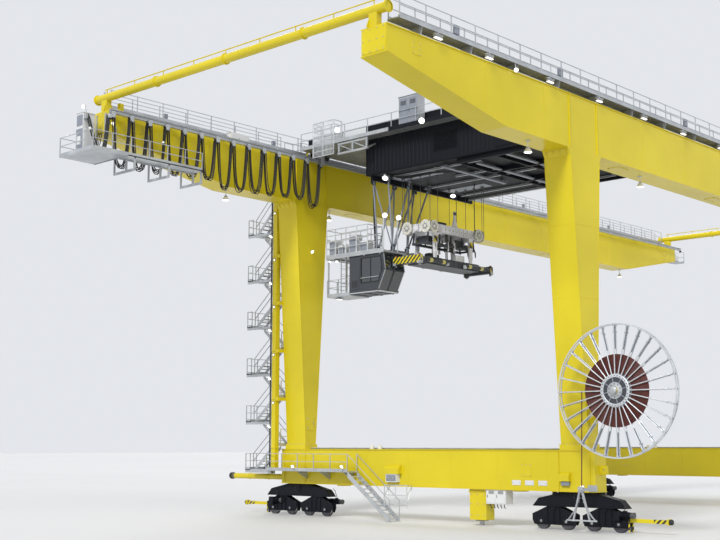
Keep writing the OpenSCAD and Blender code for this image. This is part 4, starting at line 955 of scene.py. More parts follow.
def bogie_details():
    p = Shape("bogie_details")
    for sx, sy in CORNERS:
        x, y = sx * SPAN, sy * GAP
        # Main pin with its caps, and flanges on the balance beam
        for f in SIDES:
            p.lathe((x + f * 0.15, y, 0.9), (f, 0, 0), [(0, 0.03), (0.08, 0.03), (0.09, 0.02),
                (0.13, 0.02), (0.135, 0)], NAVY, 28)
            p.bolts([(x + f * 0.17, y + u, 0.9 + v) for u, v in ring(8, 0.11)], (f, 0, 0), DARK,
                0.012)
            p.bar((x + f * 0.15, y - 1.29, 0.852), (x + f * 0.15, y - 0.42, 1.04), 0.03, 0.016,
                NAVY)
            p.bar((x + f * 0.15, y + 1.29, 0.852), (x + f * 0.15, y + 0.42, 1.04), 0.03, 0.016,
                NAVY)
            p.bar((x + f * 0.155, y - 1.48, 0.65), (x + f * 0.155, y + 1.48, 0.65), 0.02, 0.03,
                NAVY)
            for b in SIDES:
                c = y + b * AXLE_PITCH
                p.lathe((x + f * 0.115, c, 0.6), (f, 0, 0), [(0, 0.03), (0.05, 0.03), (0.06, 0.015),
                    (0.085, 0.012), (0.09, 0)], NAVY, 24)
                # Ribs, edge bars and bearing caps of the side plates
                for w in SIDES:
                    q = c + w * 0.4125
                    p.lathe((x + f * 0.115, q, AXLE_Z), (f, 0, 0), [(0.0415, 0), (0.0415, 0.022),
                        (0.07, 0.022), (0.085, 0.016), (0.098, 0.012), (0.1, 0)], NAVY, 28)
                    p.bolts([(x + f * 0.128, q + u, AXLE_Z + v) for u, v in ring(6, 0.083, pi / 6)],
                        (f, 0, 0), DARK, 0.008)
                for dy in (-0.2, 0, 0.2):
                    p.slab((x + f * 0.114, x + f * 0.135), about(c + dy, 0.008), (0.16, 0.6), NAVY)
                p.bar((x + f * 0.118, c - 0.64, 0.14), (x + f * 0.118, c + 0.64, 0.14), 0.02, 0.02,
                    NAVY)
        # Drives on the outer side: gearbox, motor with fins, brake
        for b in SIDES:
            c, f = y + b * 1.2375, -sx if b * sy < 0 else sx
            g = x + f * 0.125
            p.slab((g, g + f * 0.13), about(c, 0.1), (0.33, 0.58), NAVY, 0.015)
            p.rod((g + f * 0.06, c - 0.1, 0.48), (g + f * 0.06, c - 0.43, 0.48), 0.075, NAVY, 20)
            p.rod((g + f * 0.06, c - 0.43, 0.48), (g + f * 0.06, c - 0.53, 0.48), 0.082, DARK, 20)
            for k in range(9):
                p.lathe((g + f * 0.06, c - 0.14 - k * 0.03, 0.48), (0, 1, 0),
                    collar(0.074, 0.004, 0.088, 0.003), NAVY, 16)
            p.box((g + f * 0.03, c - 0.3, 0.55), (g + f * 0.1, c - 0.18, 0.6), NAVY, 0.008)
            p.pipe([(g + f * 0.08, c - 0.24, 0.59), (g + f * 0.08, c - 0.24, 0.66),
                (g + f * 0.02, c - 0.24, 0.75), (x + f * 0.17, c - 0.2, 0.82),
                (x + f * 0.17, c - 0.1, 0.9)], 0.01, RUBBER, 6)
        # Rail sweepers and guards at the outer end, striped
        e = y + sy * (1.2375 + 0.3)
        for f in SIDES:
            p.box((x + f * 0.085, e - sy * 0.01, 0.03), (x + f * 0.12, e + sy * 0.02, 0.3), HAZARD,
                0.003)
        p.slab(about(x, 0.12), (e, e + sy * 0.012), (0.26, 0.42), HAZARD_X, 0.003)
        p.slab(about(x, 0.05), (e, e + sy * 0.02), (0.035, 0.2), RUBBER, 0.006)
    p.done()


def wheel_details():
    for n, (sx, sy, k) in enumerate(product(SIDES, SIDES, range(4)), 1):
        x, y = sx * SPAN, sy * GAP + (k - 1.5) * AXLE_PITCH
        p = Shape(f"wheel_dress_{n}")
        for f in SIDES:
            p.lathe((x, y, AXLE_Z), (f, 0, 0), [(0.06, 0.0615), (0.07, 0.07), (0.12, 0.066),
                (0.17, 0.0645), (0.2, 0.0625), (0.222, 0.0612)], DARK, 32)
            p.lathe((x + f * 0.125, y, AXLE_Z), (f, 0, 0), [(0.0395, -0.004), (0.0395, 0.012),
                (0.03, 0.016), (0, 0.016)], STEEL, 20)
            p.bolts([(x + f * 0.139, y + 0.02 * cos(a), AXLE_Z + 0.02 * sin(a))
                for a in (0.5, 2.6, 4.7)], (f, 0, 0), DARK, 0.006)
        p.lathe((x, y, AXLE_Z), (1, 0, 0), collar(0.2004, 0.038, 0.2012, 0.03), STEEL, 48)
        p.done(f"wheel_{n}")


def buffer_details():
    p = Shape("buffer_details")
    for sx in SIDES:
        x = sx * SPAN
        p.lathe((x, 6.15, BUFFER_Z), (0, 1, 0), [(0.17, 0), (0.17, 0.03), (0.096, 0.035)], YELLOW,
            32)
        p.bolts([(x + u, 6.18, BUFFER_Z + v) for u, v in ring(8, 0.14)], (0, 1, 0), GALV, 0.014)
        for y in (7.1, 8.05):
            p.lathe((x, y, BUFFER_Z), (0, 1, 0), collar(0.096, 0.015, 0.108, 0.012), YELLOW, 32)
        p.lathe((x, 8.93, BUFFER_Z), (0, 1, 0), [(0.0955, -0.1), (0.0975, -0.09), (0.0975, -0.01),
            (0.0955, 0)], DARK, 32)
        p.lathe((x, 9.0, BUFFER_Z), (0, 1, 0), [(0.0955, -0.06), (0.118, -0.055), (0.12, 0.03),
            (0.105, 0.066), (0, 0.074)], RUBBER, 32)
        for sy in SIDES:
            e = sy * 8.1875
            p.slab(about(x, 0.09), (e - sy * 0.03, e), (0.26, 0.42), YELLOW, 0.004)
            p.lathe((x, e - sy * 0.002, 0.34), (0, sy, 0), [(0.07, 0), (0.075, 0.02), (0.075, 0.06),
                (0.06, 0.085), (0, 0.09)], RUBBER, 24)
            p.slab(about(x, 0.062), (sy * 7.75, sy * 8.12), (0.288, 0.392), HAZARD, 0.002)
    p.done()


# Cable reel

def reel_wheel():
    """Round double spokes, rims, ties and a bolted hub, all on the reel."""
    p = Shape("reel_spokes")
    for s in SIDES:
        c = REEL + Vector((s * 0.06, 0, 0))
        for i in range(28):
            a = 2 * pi * i / 28
            d = Vector((0, sin(a), cos(a)))
            p.rod(c + d * 0.40, c + d * 1.75, 0.0165, BRIGHT, 8)
            p.box(c + d * 1.735 - Vector((0.017, 0.028, 0.028)),
                c + d * 1.735 + Vector((0.017, 0.028, 0.028)), GALV, 0.006)
            p.rod(c + d * 1.55 - Vector((0.02, 0, 0)), c + d * 1.55 + Vector((0.02, 0, 0)), 0.022,
                GALV, 8)
        p.lathe(c, (1, 0, 0), [(1.742, -0.013), (1.774, -0.013), (1.7745, -0.0105),
            (1.7745, 0.0105), (1.774, 0.013), (1.742, 0.013), (1.742, -0.013)], BRIGHT, 112)
        p.lathe(c, (s, 0, 0), [(0.1, 0.013), (0.23, 0.02), (0.3, 0.0145), (0.352, 0.0145)], GREY,
            56)
        p.lathe(c, (s, 0, 0), [(0.35, 0.012), (0.35, 0.03), (0.36, 0.036), (0.425, 0.036),
            (0.436, 0.03), (0.436, 0.012)], BRIGHT, 72)
        p.bolts([c + Vector((s * 0.036, v, u)) for u, v in ring(28, 0.395)], (s, 0, 0), DARK, 0.012)
        for k in range(8):
            a = k * pi / 4 + 0.2
            p.bar(c + Vector((s * 0.018, 0.2 * sin(a), 0.2 * cos(a))),
                c + Vector((s * 0.02, 0.35 * sin(a), 0.35 * cos(a))), 0.03, 0.02, MID)
    for i in range(28):
        a = 2 * pi * i / 28
        d = Vector((0, sin(a), cos(a)))
        p.rod(REEL + d * 1.735 - Vector((0.06, 0, 0)), REEL + d * 1.735 + Vector((0.06, 0, 0)),
            0.009, GALV, 6)
        # Web plate between the two layers of spokes, with its folded edges
        t = Vector((0, d.z, -d.y)) * 0.0025
        p.plate([REEL + d * 1.1 + Vector((-0.05, 0, 0)) - t, REEL + d * 1.7 + Vector((-0.05, 0,
            0)) - t, REEL + d * 1.7 + Vector((0.05, 0, 0)) - t,
            REEL + d * 1.1 + Vector((0.05, 0, 0)) - t], t * 2, MID)
        for r in (1.1, 1.7):
            p.rod(REEL + d * r - Vector((0.055, 0, 0)), REEL + d * r + Vector((0.055, 0, 0)), 0.01,
                GALV, 6)
    # Boss with its cap and the cable's entry
    p.lathe(REEL, (-1, 0, 0), [(0.221, 0.07), (0.221, 0.1), (0.2, 0.104), (0.15, 0.104),
        (0.14, 0.11), (0.0906, 0.11)], GALV, 48)
    p.bolts([REEL + Vector((-0.104, v, u)) for u, v in ring(10, 0.175)], (-1, 0, 0), DARK, 0.013)
    p.done("reel")
    w = Shape("reel_turns")
    for k in range(17):
        r = 0.47 + k * 0.03
        w.lathe(REEL, (1, 0, 0), [(r + 0.015 * cos(a), 0.015 * sin(a))
            for a in [j * pi / 4 for j in range(9)]], "red_cable", 72)
    w.lathe(REEL, (1, 0, 0), collar(0.222, 0.014, 0.45, 0.014), GALV, 48)
    w.done("reel", replaces=("reel_winding",))


def reel_drive():
    p = Shape("reel_drive")
    _, y, z = REEL
    # Shaft end, bearing ring and slip ring housing in front of the reel
    p.lathe((-9.92, y, z), (-1, 0, 0), [(0.09, -0.06), (0.096, -0.05), (0.096, 0.0), (0.08, 0.012),
        (0, 0.012)], GALV, 32)
    p.lathe((-9.48, y, z), (-1, 0, 0), [(0.2, 0), (0.2, 0.03), (0.17, 0.045), (0.13, 0.05),
        (0.12, 0.09), (0.0905, 0.09)], GREY, 40)
    p.bolts([(-9.51, y + v, z + u) for u, v in ring(12, 0.185)], (-1, 0, 0), DARK, 0.012)
    for f in SIDES:
        # Gearbox seams, covers, feet
        p.slab((-9.46, -9.03), (y + f * 0.24, y + f * 0.252), about(z, 0.24), GREY, 0.01)
        p.bolts([(-9.42 + a * 0.115, y + f * 0.252, z + b) for a in range(4)
            for b in (-0.21, 0.21)], (0, f, 0), DARK, 0.012)
        p.box((-9.2, y + f * 0.16, z - 0.3), (-8.98, y + f * 0.27, z - 0.25), GREY, 0.008)
    # Torque motors on top and below, with fins and terminal boxes
    for (h, f), dy in product(((z + 0.26, 1), (z - 0.26, -1)), (-0.12, 0.12)):
        c = (-9.26, y + dy, h)
        p.lathe(c, (0, 0, f), [(0.1, 0), (0.1, 0.02), (0.085, 0.03), (0.085, 0.3), (0.075, 0.33),
            (0, 0.335)], NAVY, 24)
        for k in range(7):
            p.lathe((c[0], c[1], h + f * (0.06 + k * 0.032)), (0, 0, 1),
                collar(0.084, 0.004, 0.097, 0.003), NAVY, 20)
        p.slab((c[0] - 0.13, c[0] - 0.08), about(c[1], 0.05), (h + f * 0.1, h + f * 0.2), NAVY,
            0.008)
    # Bolted flange and ribs of the bracket, and conduits along it
    p.slab((-9.02, -8.995), about(y, 0.22), about(z, 0.19), YELLOW, 0.005)
    p.slab((-8.99, -8.70), (-5.975, -5.94), about(z, 0.24), YELLOW, 0.006)
    p.bolts([(-8.97 + a * 0.24, -5.975, z + b) for a in (0, 1) for b in (-0.2, -0.07, 0.07, 0.2)],
        (0, -1, 0), GALV, 0.014)
    for yy in (-6.35, -6.75):
        p.slab((-9.008, -8.995), about(yy, 0.006), about(z, 0.165), YELLOW)
    for k in range(3):
        zz = z + 0.19 + k * 0.028
        p.pipe([(-9.1, y + 0.2, zz), (-9.05, y + 0.35, zz), (-8.95, y + 0.5, zz), (-8.9, -6.1, zz),
            (-8.9, -5.95, zz)], 0.011, RUBBER, 6)
    p.done()
    # Guide rollers where the cable comes down
    g = Shape("cable_rollers")
    gy, gz = -6.15, 1.15
    for dy, dz in ((-0.055, 0.05), (0.055, 0.05), (-0.055, -0.06), (0.055, -0.06)):
        g.lathe((-9.735, gy + dy, gz + dz), (1, 0, 0), [(0, -0.035), (0.026, -0.035),
            (0.026, -0.028), (0.018, 0.0), (0.026, 0.02), (0.026, 0.028), (0, 0.028)], STEEL, 20)
    for s in SIDES:
        # An arm that curves outward as it goes down, with rollers on its inner side
        curve = [Vector((-9.76, gy + s * (0.045 + 0.4 * (t / 8) ** 2.1), gz - 0.02 - 0.1 * t))
            for t in range(9)]
        for a, b in zip(curve, curve[1:]):
            g.bar(a, b, 0.055, 0.014, GALV)
            g.rod(a + Vector((-0.03, -s * 0.012, 0)), a + Vector((0.035, -s * 0.012, 0)), 0.013,
                STEEL, 10)
    g.slab((-9.775, -9.745), about(gy, 0.47), (0.325, 0.365), GALV, 0.004)
    g.slab((-9.79, -9.775), about(gy, 0.08), (gz - 0.07, gz + 0.08), GALV, 0.003)
    g.bolts([(-9.79, gy + a, gz + b) for a in (-0.06, 0.06) for b in (-0.05, 0.06)], (-1, 0, 0),
        DARK, 0.009)
    g.done()


# Trolley

HX0, HX1, HY0, HY1, HZ0, HZ1 = -8.85, -3.25, -4.3, 2.4, 11.15, 12.5


def machinery_house():
    p = Shape("house_panels")
    # Corner posts, base and eaves trims
    for x, y in product((HX0, HX1), (HY0, HY1)):
        p.slab(about(x, 0.018), about(y, 0.018), (HZ0 + 0.002, HZ1), NAVY, 0.006)
    for z in (HZ0 + 0.03, HZ1 - 0.03):
        for y in (HY0, HY1):
            p.bar((HX0, y, z), (HX1, y, z), 0.03, 0.05, NAVY)
        for x in (HX0, HX1):
            p.bar((x, HY0, z), (x, HY1, z), 0.05, 0.03, NAVY)
    # Trapezoid ribs of the wall sheets
    for (y, f), i in product(((HY0, -1), (HY1, 1)), range(34)):
        x = HX0 + 0.09 + i * 0.163
        p.plate([(x, y, HZ0 + 0.06), (x + 0.015, y + f * 0.012, HZ0 + 0.06),
            (x + 0.05, y + f * 0.012, HZ0 + 0.06), (x + 0.065, y, HZ0 + 0.06)],
            (0, 0, HZ1 - HZ0 - 0.12), NAVY)
    for (x, f), i in product(((HX0, -1), (HX1, 1)), range(40)):
        y = HY0 + 0.09 + i * 0.163
        if f < 0 and (-3.6 < y + 0.03 < -2.75 or -1.5 < y + 0.03 < -0.35):
            continue
        p.plate([(x, y, HZ0 + 0.06), (x + f * 0.012, y + 0.015, HZ0 + 0.06),
            (x + f * 0.012, y + 0.05, HZ0 + 0.06), (x, y + 0.065, HZ0 + 0.06)],
            (0, 0, HZ1 - HZ0 - 0.12), NAVY)
    # Door with frame and grip, and louvred vents
    p.box((HX0 - 0.016, -3.5, HZ0 + 0.1), (HX0, -2.85, HZ0 + 1.2), NAVY, 0.006)
    p.box((HX0 - 0.024, -3.46, HZ0 + 0.13), (HX0, -2.89, HZ0 + 1.17), NAVY, 0.006)
    p.rod((HX0 - 0.05, -2.96, HZ0 + 0.6), (HX0 - 0.05, -2.96, HZ0 + 0.75), 0.009, GALV, 8)
    for z in (0.6, 0.75):
        p.rod((HX0 - 0.02, -2.96, HZ0 + z), (HX0 - 0.05, -2.96, HZ0 + z), 0.007, GALV, 8)
    x, y0, y1, z0 = HX0, -1.4, -0.45, 11.5
    p.box((x - 0.014, y0, z0), (x, y1, z0 + 0.6), NAVY, 0.005)
    for k in range(11):
        z = z0 + 0.04 + k * 0.05
        p.bar((x - 0.022, y0 + 0.03, z + 0.01), (x - 0.022, y1 - 0.03, z + 0.01), 0.034, 0.006,
            NAVY)
    for x0 in (-7.6, -5.6):
        p.box((x0, HY0 - 0.014, 11.5), (x0 + 1.0, HY0, 12.1), NAVY, 0.005)
        for k in range(11):
            z = 11.54 + k * 0.05
            p.bar((x0 + 0.03, HY0 - 0.022, z), (x0 + 0.97, HY0 - 0.022, z), 0.006, 0.034, NAVY)
    # Roof sheets with standing seams, fans and a hatch
    for i in range(9):
        x = HX0 + 0.55 + i * 0.56
        p.slab(about(x, 0.012), (HY0 + 0.02, HY1 - 0.02), (HZ1, HZ1 + 0.03), NAVY)
    for x, y in ((-7.4, -3.3), (-5.9, -3.3), (-4.4, -3.3)):
        p.lathe((x, y, HZ1), (0, 0, 1), [(0.2, 0), (0.2, 0.1), (0.3, 0.12), (0.3, 0.16),
            (0.12, 0.24), (0, 0.25)], GALV, 32)
    p.box((-7.0, -0.6, HZ1), (-6.1, 0.4, HZ1 + 0.09), NAVY, 0.012)
    p.box((-5.4, -1.2, HZ1), (-4.2, 0.3, HZ1 + 0.22), GREY, 0.02)
    # Rims of the rope slots in the floor
    for x in (-7.85, -7.6, -5.2, -4.95):
        p.box((x - 0.16, 0.2, HZ0 - 0.012), (x + 0.1, 2.0, HZ0), MID, 0.003)
    # Pale trays, beams and cable runs below the floor
    for x, y0, y1 in ((-8.3, -1.9, 1.7), (-7.0, -1.6, 0.1), (-6.2, -3.9, 2.1), (-4.4, -3.4, 1.9),
            (-3.6, -3.9, 2.2)):
        p.slab(about(x, 0.05), (y0, y1), (HZ0 - 0.07, HZ0 - 0.05), GALV)
        for e in (-0.05, 0.044):
            p.box((x + e, y0, HZ0 - 0.07), (x + e + 0.006, y1, HZ0 - 0.02), GALV)
        for y in (y0 + 0.1, (y0 + y1) / 2, y1 - 0.1):
            p.slab(about(x, 0.06), about(y, 0.015), (HZ0 - 0.02, HZ0), GALV)
    for y, x0, x1 in ((-0.6, -8.6, -5.2), (-1.7, -8.2, -3.5), (-3.1, -8.6, -3.5)):
        p.slab((x0, x1), about(y, 0.06), (HZ0 - 0.12, HZ0 - 0.07), MID, 0.004)
        for x in (x0 + 0.2, (x0 + x1) / 2, x1 - 0.2):
            p.slab(about(x, 0.015), about(y, 0.05), (HZ0 - 0.07, HZ0), MID)
    for k in range(4):
        p.pipe([(-8.5 + k * 0.06, 1.9, HZ0 - 0.03), (-8.3 + k * 0.06, 1.2, HZ0 - 0.09 - k * 0.01),
            (-8.1 + k * 0.06, 0.3, HZ0 - 0.06), (-8.0 + k * 0.06, -0.5, HZ0 - 0.11),
            (-7.9, -1.5, HZ0 - 0.03)], 0.014, RUBBER, 6)
    p.done("trolley")


def trolley_fittings():
    p = Shape("trolley_fittings")
    # Cross beams: stiffeners, end flanges and bolts
    for x0 in (HX0, HX1 - 0.35):
        for k in range(-6, 7):
            y = k * 0.78
            for f, x in ((-1, x0), (1, x0 + 0.35)):
                p.slab((x - 0.012 * (f < 0), x + 0.012 * (f > 0)), about(y, 0.006),
                    (12.505, 12.845), NAVY)
        for z in (12.505, 12.842):
            p.slab((x0 - 0.014, x0 + 0.364), (-5.0, 5.0), about(z, 0.006), NAVY)
        for s in SIDES:
            p.bolts([(x0 + a, s * 5.02, 12.56 + b * 0.075) for a in (0.06, 0.29) for b in range(4)],
                (0, -s, 0), DARK, 0.014)
    # Pale box beam over the deck
    p.box((-8.866, 2.42, 12.37), (-8.85, 4.92, 12.84), WHITE, 0.006)
    for y in (2.6, 3.2, 3.8, 4.4, 4.8):
        p.slab((-8.874, -8.864), about(y, 0.006), (12.4, 12.81), WHITE)
    # Carriages: wheel guards, caps, buffers and rail sweeps
    for s in SIDES:
        y = s * RAIL_Y
        for x, f in product((-8.55, -8.0, -3.6, -3.05), SIDES):
            p.lathe((x, y + f * 0.04, 12.415), (0, f, 0), [(0.151, -0.004), (0.166, 0.0),
                (0.166, 0.012), (0.12, 0.014), (0.11, 0.004), (0.05, 0.004), (0.045, 0.03),
                (0, 0.03)], DARK, 28)
            p.slab(about(x, 0.09), (y + f * 0.06, y + f * 0.1), (12.36, 12.5), NAVY, 0.012)
        for x, f in ((-8.9, -1), (-2.7, 1)):
            p.lathe((x, y, 12.55), (f, 0, 0), [(0.07, 0), (0.07, 0.02), (0.05, 0.03), (0.05, 0.08),
                (0.062, 0.09), (0.06, 0.15), (0.04, 0.17), (0, 0.172)], RUBBER, 20)
            p.slab((x, x + f * 0.012), about(y, 0.05), (12.3, 12.46), HAZARD, 0.002)
        for x in (-6.6, -5.0):
            p.slab(about(x, 0.02), about(y, 0.105), (12.45, 12.84), NAVY)
        # Travel drives above the carriages
        for x in (-8.2, -3.4):
            p.slab(about(x, 0.12), (y - s * 0.12, y - s * 0.32), (12.6, 12.8), NAVY, 0.015)
            p.rod((x, y - s * 0.22, 12.8), (x, y - s * 0.22, 13.02), 0.07, NAVY, 20)
            p.rod((x, y - s * 0.22, 13.02), (x, y - s * 0.22, 13.08), 0.076, DARK, 20)
    # Deck: gratings and kerbs
    p.box((-9.345, -4.29, 12.4), (-8.86, 5.02, 12.404), GRATING)
    p.box((-8.84, 2.41, 12.4), (-3.26, 5.02, 12.404), GRATING)
    p.box((-9.352, 1.0, 12.36), (-9.346, 5.03, 12.48), GALV)
    p.box((-9.353, -4.3, 12.34), (-9.345, 1.0, 12.48), NAVY)
    # Pale cross structure below the deck, with its web plates
    for z in (11.98, 12.3):
        p.slab((-9.32, -9.24), (1.95, 3.3), about(z, 0.03), GALV, 0.005)
    for y in (2.0, 2.63, 3.25):
        p.slab((-9.31, -9.25), about(y, 0.035), (11.98, 12.36), GALV, 0.004)
    for y in (2.0, 2.63):
        p.bar((-9.28, y, 12.0), (-9.28, y + 0.62, 12.28), 0.03, 0.03, GALV)
    p.bar((-9.28, 2.0, 11.98), (-8.86, 2.0, 12.2), 0.05, 0.05, GALV)
    p.bar((-9.28, 3.25, 11.98), (-8.86, 3.25, 12.3), 0.05, 0.05, GALV)
    # Control cabinet on the deck: roof, doors, grips and vents
    p.box((-9.31, -0.22, 13.37), (-8.93, 0.62, 13.398), MID, 0.006)
    for y in (-0.18, 0.21):
        p.box((-9.302, y, 12.45), (-9.288, y + 0.37, 13.33), MID, 0.005)
        p.rod((-9.31, y + 0.33, 12.85), (-9.31, y + 0.33, 12.97), 0.008, DARK, 8)
        for k in range(6):
            p.box((-9.308, y + 0.07, 13.1 + k * 0.025), (-9.3, y + 0.3, 13.11 + k * 0.025), GREY)
    # Caged gate beside the left rail
    for y, x in product((3.46, 3.96, 4.42), (-9.34, -8.95)):
        p.slab(about(x, 0.02), about(y, 0.02), (12.0 if x < -9 else 12.4, 13.2), BRIGHT, 0.004)
    for z in (12.02, 12.2, 12.36, 12.55, 12.73, 12.91, 13.05, 13.2):
        p.bar((-9.34, 3.46, z), (-9.34, 4.42, z), 0.024, 0.024, BRIGHT)
        if z > 12.4:
            for y in (3.46, 4.42):
                p.bar((-9.34, y, z), (-8.95, y, z), 0.02, 0.02, BRIGHT)
    for k in range(16):
        p.rod((-9.34, 3.48 + k * 0.0615, 12.02), (-9.34, 3.48 + k * 0.0615, 13.2), 0.009, BRIGHT, 5)
    # Lamps on the deck's edge, under the house and on its corners
    for x, y, z, aim in ((-9.42, -0.46, 12.4, (-0.9, -0.5, -0.5)), (-9.38, 3.25, 12.78,
            (-1, -0.3, -0.6)), (-8.9, -4.15, 11.3, (-0.6, -0.5, -1)),
            (-8.83, 1.6, 10.97, (-0.7, -0.3, -0.8)), (-4.79, 1.97, 11.05, (-0.5, -0.4, -1))):
        p.slab(about(x, 0.03), about(y, 0.03), (z, z + 0.13), GALV)
        lamp(p, x, y, z, aim, 0.095)
    p.done("trolley")


def hanger_details():
    p = Shape("hanger_details")
    low, top, ys = (-8.25, -7.54), (-8.47, -7.39, -6.32), (1.785, 2.45)
    z0, z1 = 8.672, 11.108
    for y in ys:
        for x in low:
            p.slab(about(x, 0.08), about(y, 0.07), (8.63, 8.642), GREY, 0.003)
            p.slab(about(x, 0.11), about(y, 0.006), (8.64, 8.8), GREY)
            p.bolts([(x + a * 0.065, y + b * 0.055, 8.642) for a in SIDES for b in SIDES],
                (0, 0, 1), GALV, 0.012)
        for x in top:
            p.slab(about(x, 0.12), about(y, 0.006), (10.95, 11.1), GREY)
            p.slab(about(x, 0.08), about(y, 0.08), (11.138, 11.149), GREY, 0.003)
        for a, b in ((0, 0), (0, 1), (1, 1), (1, 2)):
            u, v = Vector((low[a], y, z0)), Vector((top[b], y, z1))
            for t in (0.07, 0.93):
                q, d = u.lerp(v, t), (v - u).normalized()
                p.rod(q - d * 0.012, q + d * 0.012, 0.05, GREY, 14)
    # Hoses and cables that come down the lattice to the cab
    for k in range(4):
        x = -8.40 + k * 0.03
        p.pipe([(x, 2.52, 11.14), (x + 0.01, 2.52, 10.4), (x + 0.06, 2.54, 9.6),
            (x + 0.13, 2.56, 9.0), (x + 0.15, 2.58, 8.64)], 0.013, RUBBER, 6)
    for x, h in ((-8.74, 9.76), (-8.05, 9.78)):
        p.rod((x, 1.76, 8.6), (x, 1.76, h + 0.05), 0.02, BRIGHT, 10)
        p.slab(about(x, 0.05), (1.71, 1.81), (8.6, 8.64), BRIGHT)
        lamp(p, x, 1.7, h, (-0.6, -0.7, -0.5), 0.085)
    p.done("trolley")


def cab_details():
    p = Shape("cab_details")
    x0, x1 = -8.72, -7.74
    # Front glass in two slopes, with its bars
    up = [(1.72, 8.0), (1.795, 8.52)]
    low = [(1.735, 7.97), (2.04, 7.34)]
    for k in range(2):
        a, b = x0 + 0.05 + k * 0.45, x0 + 0.48 + k * 0.45
        for (ya, za), (yb, zb) in (up, low):
            p.plate([(a, ya - 0.004, za), (b, ya - 0.004, za), (b, yb - 0.004, zb),
                (a, yb - 0.004, zb)], (0, 0.01, 0), "cab_glass")
    for x in (x0 + 0.02, x0 + 0.465, x0 + 0.49, x1 - 0.02):
        kind = GREY if x0 + 0.1 < x < x1 - 0.1 else GALV
        p.bar((x, 1.715, 8.0), (x, 1.795, 8.55), 0.03, 0.025, kind)
        p.bar((x, 1.715, 8.0), (x, 2.055, 7.31), 0.03, 0.025, kind)
    p.box((x0 - 0.01, 2.0, 7.29), (x1 + 0.01, 2.07, 7.34), BRIGHT, 0.008)
    p.box((x0 - 0.012, 2.03, 7.292), (x0, 3.28, 7.335), BRIGHT, 0.003)
    for y, z in ((1.715, 8.0), (1.797, 8.545), (2.055, 7.315)):
        p.bar((x0, y, z), (x1, y, z), 0.03, 0.03, GREY)
    # Side window frames with rubber, and the rear side panel with vents
    for x, f in ((x0, -1), (x1, 1)):
        out = [(2.78, 7.63), (2.78, 8.45), (1.91, 8.45), (1.86, 8.0), (2.0, 7.63)]
        for (ya, za), (yb, zb) in zip(out, out[1:] + out[:1]):
            p.bar((x + f * 0.004, ya, za), (x + f * 0.004, yb, zb), 0.02, 0.026, RUBBER)
        p.bar((x + f * 0.002, 2.36, 7.63), (x + f * 0.002, 2.36, 8.45), 0.02, 0.02, GREY)
        p.box((x, 2.86, 7.42), (x + f * 0.012, 3.24, 8.5), GREY, 0.006)
        for k in range(7):
            p.box((x, 2.92, 7.5 + k * 0.035), (x + f * 0.018, 3.18, 7.515 + k * 0.035), BLACK)
        p.box((x, 1.99, 7.32), (x + f * 0.014, 3.28, 7.39), GREY, 0.005)
        # Grab rail along the window
        p.rod((x + f * 0.05, 1.95, 7.78), (x + f * 0.05, 2.75, 7.78), 0.01, BRIGHT, 8)
        for y in (2.0, 2.7):
            p.rod((x, y, 7.78), (x + f * 0.05, y, 7.78), 0.008, BRIGHT, 8)
    # Door at the back with a window
    p.box((x0 + 0.2, 3.3, 7.32), (x0 + 0.75, 3.316, 8.45), GREY, 0.006)
    p.box((x0 + 0.27, 3.31, 7.95), (x0 + 0.68, 3.321, 8.38), "cab_glass", 0.004)
    p.rod((x0 + 0.69, 3.34, 7.75), (x0 + 0.69, 3.34, 7.9), 0.008, BRIGHT, 8)
    # Wipers and mirror at the front, and a strip lamp below the rear floor
    for k in range(2):
        a = Vector((x0 + 0.12 + k * 0.45, 1.708, 7.99))
        b = Vector((x0 + 0.32 + k * 0.45, 1.755, 8.42))
        p.rod(a, b, 0.005, BLACK, 6)
        p.bar(b - Vector((0.06, 0.012, 0.16)), b + Vector((0.06, 0.012, 0.08)), 0.008, 0.012,
            RUBBER)
    p.box((-8.6, 3.9, 7.2), (-8.36, 4.06, 7.235), MID, 0.008)
    p.box((-8.58, 3.92, 7.19), (-8.38, 4.04, 7.202), SOFT, 0.003)
    p.pipe([(x0 + 0.02, 1.86, 8.3), (x0 - 0.07, 1.82, 8.34), (x0 - 0.1, 1.8, 8.28),
        (x0 - 0.1, 1.8, 8.1)], 0.009, BLACK, 8)
    p.box((x0 - 0.125, 1.77, 7.98), (x0 - 0.075, 1.8, 8.16), BLACK, 0.012)
    # Cooler on the roof platform, seams under the floor
    p.box((-7.62, 3.2, 8.64), (-7.28, 3.95, 8.98), WHITE, 0.02)
    for k in range(8):
        p.box((-7.63, 3.26, 8.69 + k * 0.032), (-7.61, 3.88, 8.705 + k * 0.032), GREY)
    p.lathe((-7.45, 3.45, 8.98), (0, 0, 1), [(0.13, 0), (0.13, 0.02), (0.11, 0.025), (0.03, 0.015),
        (0, 0.015)], GREY, 28)
    p.box((-8.6, 3.6, 8.64), (-8.3, 3.95, 8.9), GREY, 0.015)
    for y in (2.2, 2.7, 3.2):
        p.slab((x0 + 0.01, x1 - 0.01), about(y, 0.02), (7.284, 7.3), GREY)
    # Gratings and kerbs of the cab's two floors
    p.box((-8.76, 1.74, 8.631), (-7.23, 4.34, 8.635), GRATING)
    p.box((-8.71, 3.31, 7.3), (-7.75, 4.34, 7.304), GRATING)
    for x in (-8.772, -7.218):
        p.slab(about(x, 0.004), (1.73, 4.35), (8.55, 8.70), GALV)
    p.box((-8.77, 4.346, 8.55), (-7.22, 4.352, 8.70), GALV)
    for y in (1.9, 2.6, 3.3, 4.0):
        p.slab((-8.77, -7.22), about(y, 0.02), (8.52, 8.57), GALV)
